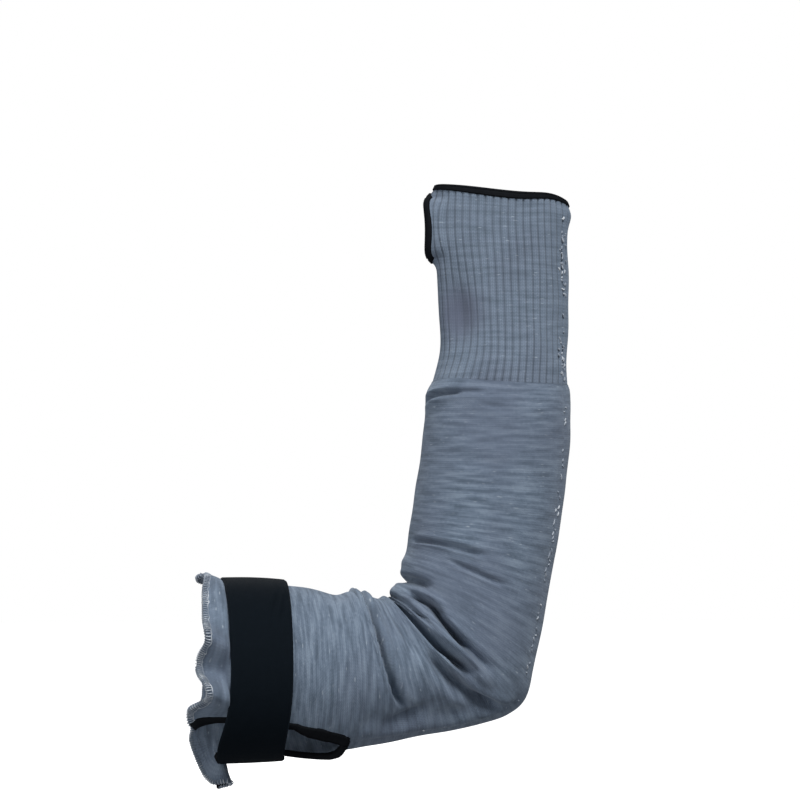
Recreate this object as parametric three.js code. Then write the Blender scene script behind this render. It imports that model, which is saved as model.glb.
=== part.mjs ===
// Knitted protective sleeve for the arm, in the shape it takes on a bent elbow.
// Millimetres, +Z up. The upper arm lies along X, the forearm stands along Z, the near side is -Y.
// The origin is the middle of the strap's ring, where the sleeve grips the upper arm.
import * as THREE from "three";

// Wall and trim thicknesses
const JERSEY_WALL = 2.0;
const RIB_WALL = 2.6;
const RIB_GROOVE = 0.9;
const RIB_COUNT = 44;
const TAPE_THICK = 0.8;
const TAPE_GAP = 0.5;
const TAPE_LEG_GAP = 0.75;
const SLIT_TAPE_LEG = 4.0;
const RIM_TAPE_LEG = 5.0;
const THUMB_TAPE_LEG = 3.4;
const STRAP_THICK = 1.6;
const STRAP_CLEAR = 2.0;

// How finely each piece is divided round the arm
const ARM_COLUMNS = 36;
const STRAP_COLUMNS = 56;

// Angles run round the arm in degrees: 0 is the outer line over the point of the elbow,
// 90 the near side, 180 the line through the crook of the elbow and the thumb.
const SEAM_AT_SLIT = 27;
const SEAM_AT_WRIST = 34;
const STRAP_START = 250;
const STRAP_LAP = 46;
const STRAP_RISE = 40;

// Cross sections of the jersey tube from hem to wrist. A section's inner end is on the crook side,
// its outer end on the elbow side, and its depth is measured along Y.
const ARM_SECTIONS = [
  { name: "hem", innerX: -30, innerZ: 54.5, outerX: -30, outerZ: -54.5, depth: 101 },
  { name: "strap_low", innerX: -20, innerZ: 54, outerX: -20, outerZ: -54, depth: 101 },
  { name: "strap_mid", innerX: 0, innerZ: 54, outerX: 0, outerZ: -53.5, depth: 100 },
  { name: "strap_high", innerX: 20, innerZ: 52.5, outerX: 20, outerZ: -52.5, depth: 98 },
  { name: "biceps", innerX: 51.5, innerZ: 47.5, outerX: 54.5, outerZ: -50, depth: 95 },
  { name: "above_slit", innerX: 64.5, innerZ: 47, outerX: 72.5, outerZ: -47, depth: 92 },
  { name: "fold_row", innerX: 76, innerZ: 44.5, outerX: 99, outerZ: -42.5, depth: 89 },
  { name: "crook_low", innerX: 83.5, innerZ: 43, outerX: 124.5, outerZ: -38, depth: 88 },
  { name: "crook", innerX: 87.5, innerZ: 43.5, outerX: 144.5, outerZ: -33, depth: 88 },
  { name: "elbow_low", innerX: 89, innerZ: 45.5, outerX: 160, outerZ: -27, depth: 88 },
  { name: "elbow", innerX: 90, innerZ: 49.5, outerX: 170.5, outerZ: -17.5, depth: 88 },
  { name: "elbow_high", innerX: 92.5, innerZ: 55, outerX: 175.5, outerZ: -1, depth: 88 },
  { name: "crook_high", innerX: 94, innerZ: 63, outerX: 180, outerZ: 19.5, depth: 87 },
  { name: "forearm_low", innerX: 96, innerZ: 73, outerX: 185, outerZ: 43, depth: 85 },
  { name: "forearm", innerX: 99.5, innerZ: 93, outerX: 192, outerZ: 80.5, depth: 83 },
  { name: "forearm_wide", innerX: 104.5, innerZ: 123, outerX: 198, outerZ: 120.5, depth: 81 },
  { name: "forearm_top", innerX: 108.5, innerZ: 155.5, outerX: 200, outerZ: 155.5, depth: 77 },
  { name: "shoulder", innerX: 110, innerZ: 172.5, outerX: 199.5, outerZ: 172.5, depth: 72 },
  { name: "wrist_join", innerX: 113.5, innerZ: 177, outerX: 198, outerZ: 177, depth: 66 },
];

// Cross sections of the ribbed cuff from the join to the rim
const CUFF_SECTIONS = [
  { name: "wrist_join", innerX: 114, innerZ: 177.5, outerX: 198, outerZ: 177.5, depth: 65 },
  { name: "rib_low", innerX: 118.5, innerZ: 198, outerX: 198, outerZ: 198, depth: 58 },
  { name: "wrist", innerX: 117.5, innerZ: 223, outerX: 198.5, outerZ: 223, depth: 52 },
  { name: "thumb_low", innerX: 116, innerZ: 249.5, outerX: 198, outerZ: 250.5, depth: 50 },
  { name: "thumb_mid", innerX: 114, innerZ: 275.5, outerX: 198.5, outerZ: 274.5, depth: 49 },
  { name: "rim", innerX: 113.5, innerZ: 301.5, outerX: 198.5, outerZ: 292, depth: 48 },
];

// Stations count sections: 2.5 is half way between rows 2 and 3 of the table above.
const ARM_STATIONS = [
  0, 0.3, 0.65, 1, 2, 3, 3.4, 3.7, 3.95, 4.12, 4.2, 4.5, 5, 5.3, 5.6, 6, 6.4, 6.8, 7.2, 7.5, 7.8,
  8.1, 8.5, 8.9, 9.3, 9.7, 10.1, 10.5, 11, 11.6, 12.2, 12.7, 13, 13.3, 13.6, 14, 14.7, 15.4, 16.2, 17, 18,
];
const CUFF_STATIONS = [0, 1, 2, 2.7, 3.31, 3.37, 3.6, 3.95, 4.3, 4.52, 4.58, 5];
const STRAP_STATIONS = [1, 2, 3];

// The slit through the hem: the angles of its near and far lips, and how far the far lip hangs out
const SLIT = [
  { station: 0, near: 63, far: -6, hang: 0 },
  { station: 1, near: 61, far: -5, hang: 0 },
  { station: 3, near: 52, far: -3, hang: 0 },
  { station: 3.4, near: 47, far: -2, hang: 2.5 },
  { station: 3.7, near: 43, far: 1, hang: 2.5 },
  { station: 3.95, near: 39, far: 8, hang: 1.2 },
  { station: 4.12, near: 34, far: 17, hang: 0.3 },
  { station: 4.2, near: SEAM_AT_SLIT, far: SEAM_AT_SLIT, hang: 0 },
];
const SLIT_TIP = 4.2;

// Creases pressed into the jersey: each runs round the arm from one angle to another while its
// station drifts, and is a valley `deep` millimetres down with a ridge either side.
const FOLDS = [
  { name: "crook_crease", from: 82, to: 275, start: 8.75, end: 7.9, middle: 7.5, wide: 0.62, deep: 6.5 },
  { name: "crook_upper", from: 76, to: 285, start: 10.2, end: 10.6, middle: 10.6, wide: 0.7, deep: 4.5 },
  { name: "biceps_crease", from: 74, to: 262, start: 5.7, end: 5.6, middle: 5.35, wide: 0.36, deep: 3.6 },
  { name: "elbow_hollow", from: 36, to: 104, start: 8.8, end: 7.0, middle: 7.6, wide: 0.5, deep: 2.6 },
  { name: "under_hollow", from: 38, to: 66, start: 5.2, end: 6.4, middle: 5.8, wide: 0.6, deep: 2.0 },
  { name: "forearm_crease", from: 100, to: 255, start: 13.5, end: 13.4, middle: 13.5, wide: 0.3, deep: 3.0 },
  { name: "forearm_lower", from: 84, to: 140, start: 12.9, end: 13.05, middle: 13.0, wide: 0.25, deep: 1.6 },
  { name: "crook_roll", from: 120, to: 250, start: 12.2, end: 12.0, middle: 12.1, wide: 0.5, deep: 2.2 },
  { name: "forearm_faint", from: 80, to: 132, start: 15.1, end: 15.2, middle: 15.2, wide: 0.25, deep: 1.0 },
  { name: "far_elbow", from: 262, to: 330, start: 8.2, end: 9.2, middle: 8.6, wide: 0.55, deep: 3.0 },
  { name: "far_upper", from: 215, to: 300, start: 6.6, end: 6.2, middle: 6.4, wide: 0.4, deep: 2.2 },
];

// Flutes of the loose hem: each swells or pinches the edge at one angle, and reaches along the arm
const FLUTES = [
  { angle: 62, spread: 11, out: 3, reach: 10 },
  { angle: 80, spread: 8, out: -5, reach: 0 },
  { angle: 97, spread: 9, out: 5, reach: 6 },
  { angle: 113, spread: 9, out: -3, reach: 0 },
  { angle: 178, spread: 13, out: 4, reach: 5 },
  { angle: 222, spread: 14, out: 4, reach: 3 },
  { angle: 250, spread: 12, out: -4, reach: 0 },
  { angle: 278, spread: 13, out: 6, reach: 4 },
  { angle: 306, spread: 12, out: -4, reach: 0 },
  { angle: 352, spread: 19, out: 16, reach: -10 },
];
const HEM_SKEW = 7;

// The thumb slot in the cuff, its lips standing out from the wrist
const THUMB_ANGLE = 186;
const THUMB_START = 3.31;
const THUMB_END = 4.58;
const THUMB_HALF_GAP = 18;
const THUMB_LIP_OUT = 4.5;
const THUMB_LIP_SPREAD = 14;

// The dent in the wrist beside the thumb
const WRIST_DENT = { station: 2.0, angle: 143, tall: 0.75, spread: 15, deep: 4.5 };

const rad = THREE.MathUtils.degToRad;
const mix = THREE.MathUtils.lerp;
const bell = (x) => Math.exp(-x * x);

// The value of one column of a table at a station between its rows
function along(table, column, station) {
  const last = table.length - 1;
  if (station >= table[last].station) return table[last][column];
  const next = Math.max(1, table.findIndex((row) => row.station > station));
  const a = table[next - 1];
  const b = table[next];
  return mix(a[column], b[column], (station - a.station) / (b.station - a.station));
}

// A plain tube through a table of sections, as a function of station and angle
function plainTube(sections) {
  const curve = (point) => new THREE.CatmullRomCurve3(sections.map(point), false, "catmullrom", 0.5);
  const inner = curve((row) => new THREE.Vector3(row.innerX, row.depth / 2, row.innerZ));
  const outer = curve((row) => new THREE.Vector3(row.outerX, row.depth / 2, row.outerZ));
  return (station, angle) => {
    const t = station / (sections.length - 1);
    const a = inner.getPoint(t);
    const b = outer.getPoint(t);
    const swing = (1 + Math.cos(rad(angle))) / 2;
    return new THREE.Vector3(mix(a.x, b.x, swing), -a.y * Math.sin(rad(angle)), mix(a.z, b.z, swing));
  };
}

// How a surface moves with its station and with its angle, per section and per degree
function slopes(surface, last, station, angle) {
  const low = Math.max(0, station - 0.02);
  const high = Math.min(last, station + 0.02);
  const bySection = surface(high, angle).sub(surface(low, angle)).divideScalar(high - low);
  const byAngle = surface(station, angle + 0.5).sub(surface(station, angle - 0.5));
  return { bySection, byAngle };
}

// The outward normal of a surface given as a function of station and angle
function normalOf(surface, last) {
  return (station, angle) => {
    const { bySection, byAngle } = slopes(surface, last, station, angle);
    return bySection.cross(byAngle).normalize();
  };
}

// Depth of the creases at one place: a valley between two ridges, fading at both ends
function foldDepth(station, angle) {
  let sum = 0;
  for (const fold of FOLDS) {
    const turn = (angle - fold.from) / (fold.to - fold.from);
    if (turn <= 0 || turn >= 1) continue;
    const bow = 4 * turn * (1 - turn);
    const line = mix(mix(fold.start, fold.end, turn), fold.middle, bow);
    const x = (station - line) / fold.wide;
    const fade = THREE.MathUtils.smoothstep(Math.min(turn, 1 - turn), 0, 0.22);
    sum -= fold.deep * fade * (1 - 1.4 * x * x) * bell(x);
  }
  return sum;
}

const wrapped = (angle) => ((angle % 360) + 360) % 360;
const turnTo = (angle, centre) => wrapped(angle - centre + 180) - 180;
const seamAngle = (station) =>
  mix(SEAM_AT_SLIT, SEAM_AT_WRIST, THREE.MathUtils.smoothstep(station, 5, 13));

// Outer surface of the jersey tube with its creases, fluted hem and hanging slit lip
const armTube = plainTube(ARM_SECTIONS);
const armLast = ARM_SECTIONS.length - 1;
const armTubeNormal = normalOf(armTube, armLast);
function armSurface(station, angle) {
  const point = armTube(station, angle);
  const normal = armTubeNormal(station, angle);
  let lift = foldDepth(station, wrapped(angle));
  const loose = Math.max(0, 1 - station) ** 1.6;
  let reach = HEM_SKEW * Math.sin(rad(angle));
  for (const flute of FLUTES) {
    const swell = loose * bell(turnTo(angle, flute.angle) / flute.spread);
    lift += flute.out * swell;
    reach += flute.reach * bell(turnTo(angle, flute.angle) / flute.spread);
  }
  if (station < SLIT_TIP) {
    const fromLip = turnTo(angle, along(SLIT, "far", station));
    lift += along(SLIT, "hang", station) * bell(fromLip / 14);
  }
  point.addScaledVector(normal, lift);
  point.x -= reach * loose;
  return point;
}

// Outer surface of the cuff without its ribs: the wrist's dent and the raised lips of the thumb slot
const cuffTube = plainTube(CUFF_SECTIONS);
const cuffLast = CUFF_SECTIONS.length - 1;
const cuffTubeNormal = normalOf(cuffTube, cuffLast);
function slotShape(station) {
  const half = (THUMB_END - THUMB_START) / 2;
  const x = (station - THUMB_START - half) / half;
  return Math.abs(x) >= 1 ? 0 : Math.sqrt(1 - x * x);
}
function cuffSurface(station, angle) {
  const dentAcross = turnTo(angle, WRIST_DENT.angle) / WRIST_DENT.spread;
  const dent = WRIST_DENT.deep * bell((station - WRIST_DENT.station) / WRIST_DENT.tall) * bell(dentAcross);
  const fromSlot = Math.abs(turnTo(angle, THUMB_ANGLE)) - THUMB_HALF_GAP * slotShape(station);
  const slotMiddle = (THUMB_START + THUMB_END) / 2;
  const lip = THUMB_LIP_OUT * bell((station - slotMiddle) / 0.75) * bell(fromSlot / THUMB_LIP_SPREAD);
  const normal = cuffTubeNormal(station, angle);
  return cuffTube(station, angle).addScaledVector(normal, lip - dent);
}

const armNormal = normalOf(armSurface, armLast);
const cuffNormal = normalOf(cuffSurface, cuffLast);
const armAt = (station, angle, lift) =>
  armSurface(station, angle).addScaledVector(armNormal(station, angle), lift);
const cuffAt = (station, angle, lift) =>
  cuffSurface(station, angle).addScaledVector(cuffNormal(station, angle), lift);
const bandAt = (station, angle, lift) =>
  armTube(station, angle).addScaledVector(armTubeNormal(station, angle), lift);
const JERSEY = { at: armAt, surface: armSurface, last: armLast, wall: JERSEY_WALL };
const RIB_KNIT = { at: cuffAt, surface: cuffSurface, last: cuffLast, wall: RIB_WALL };

// One closed solid from points and triangles, turned to face outwards
function solidFrom(points, triangles) {
  let volume = 0;
  for (const [a, b, c] of triangles) volume += points[a].dot(points[b].clone().cross(points[c]));
  const order = volume > 0 ? triangles : triangles.map(([a, b, c]) => [a, c, b]);
  const geometry = new THREE.BufferGeometry();
  geometry.setAttribute("position", new THREE.Float32BufferAttribute(points.flatMap((p) => p.toArray()), 3));
  geometry.setIndex(order.flat());
  geometry.computeVertexNormals();
  return geometry;
}

// A wall with an outer and an inner face. Rows run along the arm and columns round it. On a row that
// is shut the last column is the first one; elsewhere the two are the lips of an opening.
function wallSolid(rows, columns, isShut, outerAt, innerAt) {
  const points = [];
  const triangles = [];
  const index = (row, column, face) => {
    const c = column === columns && isShut(row) ? 0 : column;
    return (face * rows + row) * (columns + 1) + c;
  };
  for (const at of [outerAt, innerAt]) {
    for (let row = 0; row < rows; row++) {
      for (let column = 0; column <= columns; column++) {
        points.push(at(row, isShut(row) ? column % columns : column));
      }
    }
  }
  const quad = (a, b, c, d) => triangles.push([a, b, c], [a, c, d]);
  for (let row = 0; row < rows - 1; row++) {
    for (let c = 0; c < columns; c++) {
      quad(index(row, c, 0), index(row, c + 1, 0), index(row + 1, c + 1, 0), index(row + 1, c, 0));
      quad(index(row, c, 1), index(row + 1, c, 1), index(row + 1, c + 1, 1), index(row, c + 1, 1));
    }
    if (isShut(row) && isShut(row + 1)) continue;
    const end = columns;
    quad(index(row, 0, 0), index(row + 1, 0, 0), index(row + 1, 0, 1), index(row, 0, 1));
    quad(index(row, end, 0), index(row, end, 1), index(row + 1, end, 1), index(row + 1, end, 0));
  }
  for (let c = 0; c < columns; c++) {
    const top = rows - 1;
    quad(index(0, c, 0), index(0, c, 1), index(0, c + 1, 1), index(0, c + 1, 0));
    quad(index(top, c, 0), index(top, c + 1, 0), index(top, c + 1, 1), index(top, c, 1));
  }
  return solidFrom(points, triangles);
}

// A tape folded over a cloth edge: for place i on the edge, the eight corners of its C section.
// Its legs run square to the edge into the cloth, on the left of the path as seen from outside.
function tapeCorners(cloth, leg, path, i, isRing) {
  const { at, surface, last, wall } = cloth;
  const place = path[i];
  const before = path[isRing ? (i + path.length - 1) % path.length : Math.max(0, i - 1)];
  const after = path[isRing ? (i + 1) % path.length : Math.min(path.length - 1, i + 1)];
  const edge = (lift) => at(place.station, place.angle, lift);
  const heading = surface(after.station, after.angle).sub(surface(before.station, before.angle)).normalize();
  const { bySection, byAngle } = slopes(surface, last, place.station, place.angle);
  const inward = bySection.clone().cross(byAngle).normalize().cross(heading);
  const shared = bySection.dot(byAngle);
  const size = bySection.lengthSq() * byAngle.lengthSq() - shared * shared;
  const [u, v] = [inward.dot(bySection), inward.dot(byAngle)];
  const inStation = place.station + (leg * (u * byAngle.lengthSq() - v * shared)) / size;
  const inAngle = place.angle + (leg * (v * bySection.lengthSq() - u * shared)) / size;
  const inside = (lift) => at(Math.max(0, inStation), inAngle, lift);
  const away = edge(0).sub(inside(0)).normalize();
  const shell = TAPE_GAP + TAPE_THICK;
  const over = (lift, reach) => edge(lift).addScaledVector(away, reach);
  return [
    inside(TAPE_LEG_GAP),
    inside(TAPE_LEG_GAP + TAPE_THICK),
    over(shell, shell),
    over(-wall - shell, shell),
    inside(-wall - TAPE_LEG_GAP - TAPE_THICK),
    inside(-wall - TAPE_LEG_GAP),
    over(-wall - TAPE_GAP, TAPE_GAP),
    over(TAPE_GAP, TAPE_GAP),
  ];
}

// A solid swept through a list of corner loops, closed into a ring or capped at both ends
function sweptSolid(loops, isRing) {
  const size = loops[0].length;
  const points = loops.flat();
  const triangles = [];
  const steps = isRing ? loops.length : loops.length - 1;
  for (let i = 0; i < steps; i++) {
    const next = (i + 1) % loops.length;
    for (let j = 0; j < size; j++) {
      const k = (j + 1) % size;
      const [a, b, c, d] = [i * size + j, i * size + k, next * size + k, next * size + j];
      triangles.push([a, b, c], [a, c, d]);
    }
  }
  if (!isRing) {
    const cap = [[0, 1, 2], [0, 2, 7], [7, 2, 3], [7, 3, 6], [6, 3, 4], [6, 4, 5]];
    const top = (loops.length - 1) * size;
    for (const [a, b, c] of cap) {
      triangles.push([a, c, b], [top + a, top + b, top + c]);
    }
  }
  return solidFrom(points, triangles);
}

// Jersey tube from the fluted hem to the wrist, slit open up to the seam
function armGeometry() {
  const angleOf = (row, column) => {
    const station = ARM_STATIONS[row];
    const open = station < SLIT_TIP;
    const near = open ? along(SLIT, "near", station) : seamAngle(station);
    const far = open ? along(SLIT, "far", station) : seamAngle(station);
    const turn = column / ARM_COLUMNS;
    return mix(near, far + 360, turn - 0.045 * Math.sin(2 * Math.PI * turn));
  };
  const face = (lift) => (row, column) => armAt(ARM_STATIONS[row], angleOf(row, column), lift);
  const isShut = (row) => ARM_STATIONS[row] >= SLIT_TIP;
  return wallSolid(ARM_STATIONS.length, ARM_COLUMNS, isShut, face(0), face(-JERSEY_WALL));
}

// Ribbed cuff: a flat-backed wall whose outer face falls into a groove between every two ribs
function cuffGeometry() {
  const columns = RIB_COUNT * 2;
  const isShut = (row) => slotShape(CUFF_STATIONS[row]) === 0;
  const angleOf = (row, column) => {
    const gap = THUMB_HALF_GAP * slotShape(CUFF_STATIONS[row]);
    return THUMB_ANGLE + mix(gap, 360 - gap, column / columns);
  };
  const outer = (row, column) =>
    cuffAt(CUFF_STATIONS[row], angleOf(row, column), column % 2 ? -RIB_GROOVE : 0);
  const inner = (row, column) => cuffAt(CUFF_STATIONS[row], angleOf(row, column), -RIB_WALL);
  return wallSolid(CUFF_STATIONS.length, columns, isShut, outer, inner);
}

// A tape folded over the whole of an edge path
function tapeGeometry(cloth, leg, path, isRing) {
  return sweptSolid(path.map((_, i) => tapeCorners(cloth, leg, path, i, isRing)), isRing);
}

// Black tape over the cuff's rim
function cuffBindingGeometry() {
  const path = [];
  for (let i = 0; i < RIB_COUNT; i++) {
    path.push({ station: cuffLast, angle: THUMB_ANGLE + (360 * i) / RIB_COUNT });
  }
  return tapeGeometry(RIB_KNIT, RIM_TAPE_LEG, path, true);
}

// Black tape round the thumb slot
function thumbBindingGeometry() {
  const rows = CUFF_STATIONS.filter((s) => s > THUMB_START && s < THUMB_END);
  const lip = (side) => (station) => ({
    station,
    angle: THUMB_ANGLE + side * THUMB_HALF_GAP * slotShape(station),
  });
  const top = { station: THUMB_END, angle: THUMB_ANGLE };
  const bottom = { station: THUMB_START, angle: THUMB_ANGLE };
  const path = [bottom, ...rows.map(lip(1)), top, ...rows.toReversed().map(lip(-1))];
  return tapeGeometry(RIB_KNIT, THUMB_TAPE_LEG, path, true);
}

// Black tape along both lips of the slit and round its tip
function slitBindingGeometry() {
  const rows = ARM_STATIONS.filter((s) => s < SLIT_TIP);
  const lip = (name) => (station) => ({ station, angle: along(SLIT, name, station) });
  const tip = { station: SLIT_TIP, angle: SEAM_AT_SLIT };
  const path = [...rows.map(lip("near")), tip, ...rows.toReversed().map(lip("far"))];
  return tapeGeometry(JERSEY, SLIT_TAPE_LEG, path, false);
}

// Strap round the upper arm: one band whose end laps over its start on the far side
function strapGeometry() {
  const full = 360 + STRAP_LAP;
  const face = (lift) => (row, column) => {
    const turn = (full * column) / STRAP_COLUMNS;
    const rise = THREE.MathUtils.smoothstep(turn, 360 - STRAP_RISE, 358);
    const height = STRAP_CLEAR + lift + rise * (STRAP_THICK + TAPE_GAP);
    return bandAt(STRAP_STATIONS[row], STRAP_START + turn, height);
  };
  return wallSolid(STRAP_STATIONS.length, STRAP_COLUMNS, () => false, face(STRAP_THICK), face(0));
}

const PIECES = [
  { name: "arm_tube", color: 0x66717f, make: armGeometry },
  { name: "rib_cuff", color: 0x6b7786, make: cuffGeometry },
  { name: "cuff_binding", color: 0x1c1f24, make: cuffBindingGeometry },
  { name: "thumb_binding", color: 0x1c1f24, make: thumbBindingGeometry },
  { name: "slit_binding", color: 0x16181c, make: slitBindingGeometry },
  { name: "upper_arm_strap", color: 0x121418, make: strapGeometry },
];

const sleeve = new THREE.Group();
sleeve.name = "protective_sleeve";
for (const piece of PIECES) {
  const material = new THREE.MeshStandardMaterial({ color: piece.color, roughness: 0.9, metalness: 0 });
  const mesh = new THREE.Mesh(piece.make(), material);
  mesh.name = piece.name;
  sleeve.add(mesh);
}

export default sleeve;
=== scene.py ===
# %% [markdown]
# # A knitted protective sleeve on a bent arm
# The sleeve is a tube of heathered jersey knit with a ribbed cuff, black edging on its openings and a
# black strap round the upper arm. A solid model of it already exists, so this lesson dresses that model:
# each piece is worked out again as a fine surface, in the same place, and given its cloth.

from collections import namedtuple
from functools import partial

import bpy
import numpy as np
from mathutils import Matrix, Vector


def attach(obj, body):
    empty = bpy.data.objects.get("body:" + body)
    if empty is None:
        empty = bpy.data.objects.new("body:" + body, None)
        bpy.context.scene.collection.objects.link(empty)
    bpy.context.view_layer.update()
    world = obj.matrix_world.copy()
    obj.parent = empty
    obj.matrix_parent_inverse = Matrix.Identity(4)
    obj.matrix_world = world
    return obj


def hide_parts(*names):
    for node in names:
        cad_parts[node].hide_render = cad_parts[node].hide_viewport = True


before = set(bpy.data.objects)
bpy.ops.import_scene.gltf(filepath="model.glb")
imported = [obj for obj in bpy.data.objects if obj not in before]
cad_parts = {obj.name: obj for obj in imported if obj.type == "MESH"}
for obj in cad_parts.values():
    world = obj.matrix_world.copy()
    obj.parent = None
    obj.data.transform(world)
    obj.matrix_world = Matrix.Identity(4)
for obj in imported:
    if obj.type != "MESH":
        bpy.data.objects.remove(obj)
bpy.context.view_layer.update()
MM = 0.001
print("solid pieces:", sorted(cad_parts))

# %% [markdown]
# ## The form of the arm
# A sleeve takes its form from the arm inside it, so the plainest description is a row of cross sections.
# Each section is an ellipse. Its inner end lies on the crook side, its outer end on the elbow side.
# Sweeping a circle along a curve would be shorter, but it can't widen at the elbow and bunch in the crook.
# A station counts sections, so 2.5 is half way between rows 2 and 3. Angles run round the arm:
# 0 is the line over the point of the elbow, 90 the near side, 180 the line through the crook.

# %% Sections of the arm and of the cuff
# columns: inner x, inner z, outer x, outer z, depth
ARM_SECTIONS = MM * np.array([
    [-30.0, 53.5, -30.0, -54.5, 101],  # hem
    [-20.0, 54.0, -20.0, -54.0, 101],  # lower edge of the strap
    [0.0, 54.0, 0.0, -53.5, 100],
    [20.0, 52.5, 20.0, -52.5, 98],  # upper edge of the strap
    [51.5, 47.9, 54.5, -50.0, 95],
    [64.5, 48.6, 72.5, -47.0, 92],  # just above the slit
    [76.0, 44.8, 99.0, -42.5, 89],
    [83.5, 43.0, 124.5, -38.5, 88],
    [87.5, 43.5, 144.5, -34.3, 88],  # crook of the elbow
    [89.0, 45.5, 160.2, -28.8, 88],
    [90.0, 49.5, 171.4, -18.8, 88],  # point of the elbow
    [93.8, 55.0, 176.5, -1.0, 88],
    [94.6, 64.0, 181.3, 19.5, 87],
    [97.0, 73.0, 186.1, 43.0, 85],
    [100.0, 93.0, 192.6, 80.5, 83],  # forearm
    [104.5, 123.0, 198.5, 120.5, 81],
    [108.5, 155.5, 201.6, 155.5, 76],
    [109.6, 171.0, 201.2, 170.5, 70.5],  # rounded end above the wrist
    [113.0, 180.0, 199.5, 178.5, 64.5],  # where it is joined to the cuff
])
CUFF_SECTIONS = MM * np.array([
    [112.6, 177.5, 199.5, 177.5, 65],
    [118.5, 198.0, 199.3, 198.0, 58],
    [117.8, 223.0, 200.3, 223.0, 52],  # wrist
    [116.5, 249.5, 200.4, 250.5, 50],
    [114.5, 275.5, 199.8, 274.5, 49],  # thumb
    [115.5, 302.2, 199.4, 291.6, 48],  # rim
])
ARM_LAST = len(ARM_SECTIONS) - 1
CUFF_LAST = len(CUFF_SECTIONS) - 1
print(f"arm of {ARM_LAST + 1} sections, cuff of {CUFF_LAST + 1}")

# %% A smooth tube through the sections


def catmull_rom(rows, station):
    """Smooth values between table rows: a cubic through them, whose slope at a row is half the step
    between its two neighbours."""
    padded = np.vstack([2 * rows[0] - rows[1], rows, 2 * rows[-1] - rows[-2]])
    i = np.clip(np.floor(station).astype(int), 0, len(rows) - 2)
    t = (station - i)[..., None]
    a, b, c, d = (padded[i + k] for k in range(4))
    return b + 0.5 * t * ((c - a) + t * ((2 * a - 5 * b + 4 * c - d) + t * (3 * (b - c) + d - a)))


def plain_tube(rows, station, angle):
    """Point of the smooth tube: the section's ends mixed by (1 + cos angle) / 2, and to the side half of
    its depth times sin angle."""
    q = catmull_rom(rows, station)
    turn = np.radians(angle)
    swing = (1 + np.cos(turn)) / 2
    x = q[..., 0] + (q[..., 2] - q[..., 0]) * swing
    z = q[..., 1] + (q[..., 3] - q[..., 1]) * swing
    return np.stack([x, -q[..., 4] / 2 * np.sin(turn), z], axis=-1)


arm_plain = partial(plain_tube, ARM_SECTIONS)
cuff_plain = partial(plain_tube, CUFF_SECTIONS)
elbow_point = arm_plain(np.array([10.0]), np.array([0.0]))[0]
print("point of the elbow at", np.round(elbow_point / MM, 1), "mm")

# %% Normals, bumps and steps
STATION_STEP, ANGLE_STEP = 0.02, 0.4  # the small differences that slopes are taken from


def slopes(surface, last, station, angle):
    """Steps of a surface per section and per degree, from small differences to either side."""
    low = np.maximum(station - STATION_STEP, 0)
    high = np.minimum(station + STATION_STEP, last)
    by_section = (surface(high, angle) - surface(low, angle)) / (high - low)[..., None]
    by_angle = surface(station, angle + ANGLE_STEP) - surface(station, angle - ANGLE_STEP)
    return by_section, by_angle / (2 * ANGLE_STEP)


def unit(v):
    """The same directions with length one."""
    return v / np.linalg.norm(v, axis=-1, keepdims=True)


def outward(surface, last, station, angle):
    """Unit normal of a surface: the cross product of its two slopes."""
    return unit(np.cross(*slopes(surface, last, station, angle)))


def bell(x):
    """A smooth bump: 1 at 0, fading to nothing by about 2 either side."""
    return np.exp(-x * x)


def smooth(x):
    """A smooth step from 0 to 1 while x goes from 0 to 1."""
    x = np.clip(x, 0, 1)
    return x * x * (3 - 2 * x)


def turn_from(angle, centre):
    """Degrees from centre to angle, the short way round."""
    return (angle - centre + 180) % 360 - 180


near_normal = outward(arm_plain, ARM_LAST, np.array([2.0]), np.array([90.0]))[0]
print("the near side of the upper arm faces", np.round(near_normal, 2))

# %% [markdown]
# ## Creases
# Knit that is worn on a bent elbow bunches in the crook and spreads fan-wise over the sides. A cloth
# simulation can give such folds, but not the ones of a given sleeve. Here each fold is a row of a table:
# it runs round the arm from one angle to another while its station drifts, and its profile is a valley
# between two ridges. `lean` pushes the bottom of the valley along the arm, so that one side rolls over it.

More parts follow.
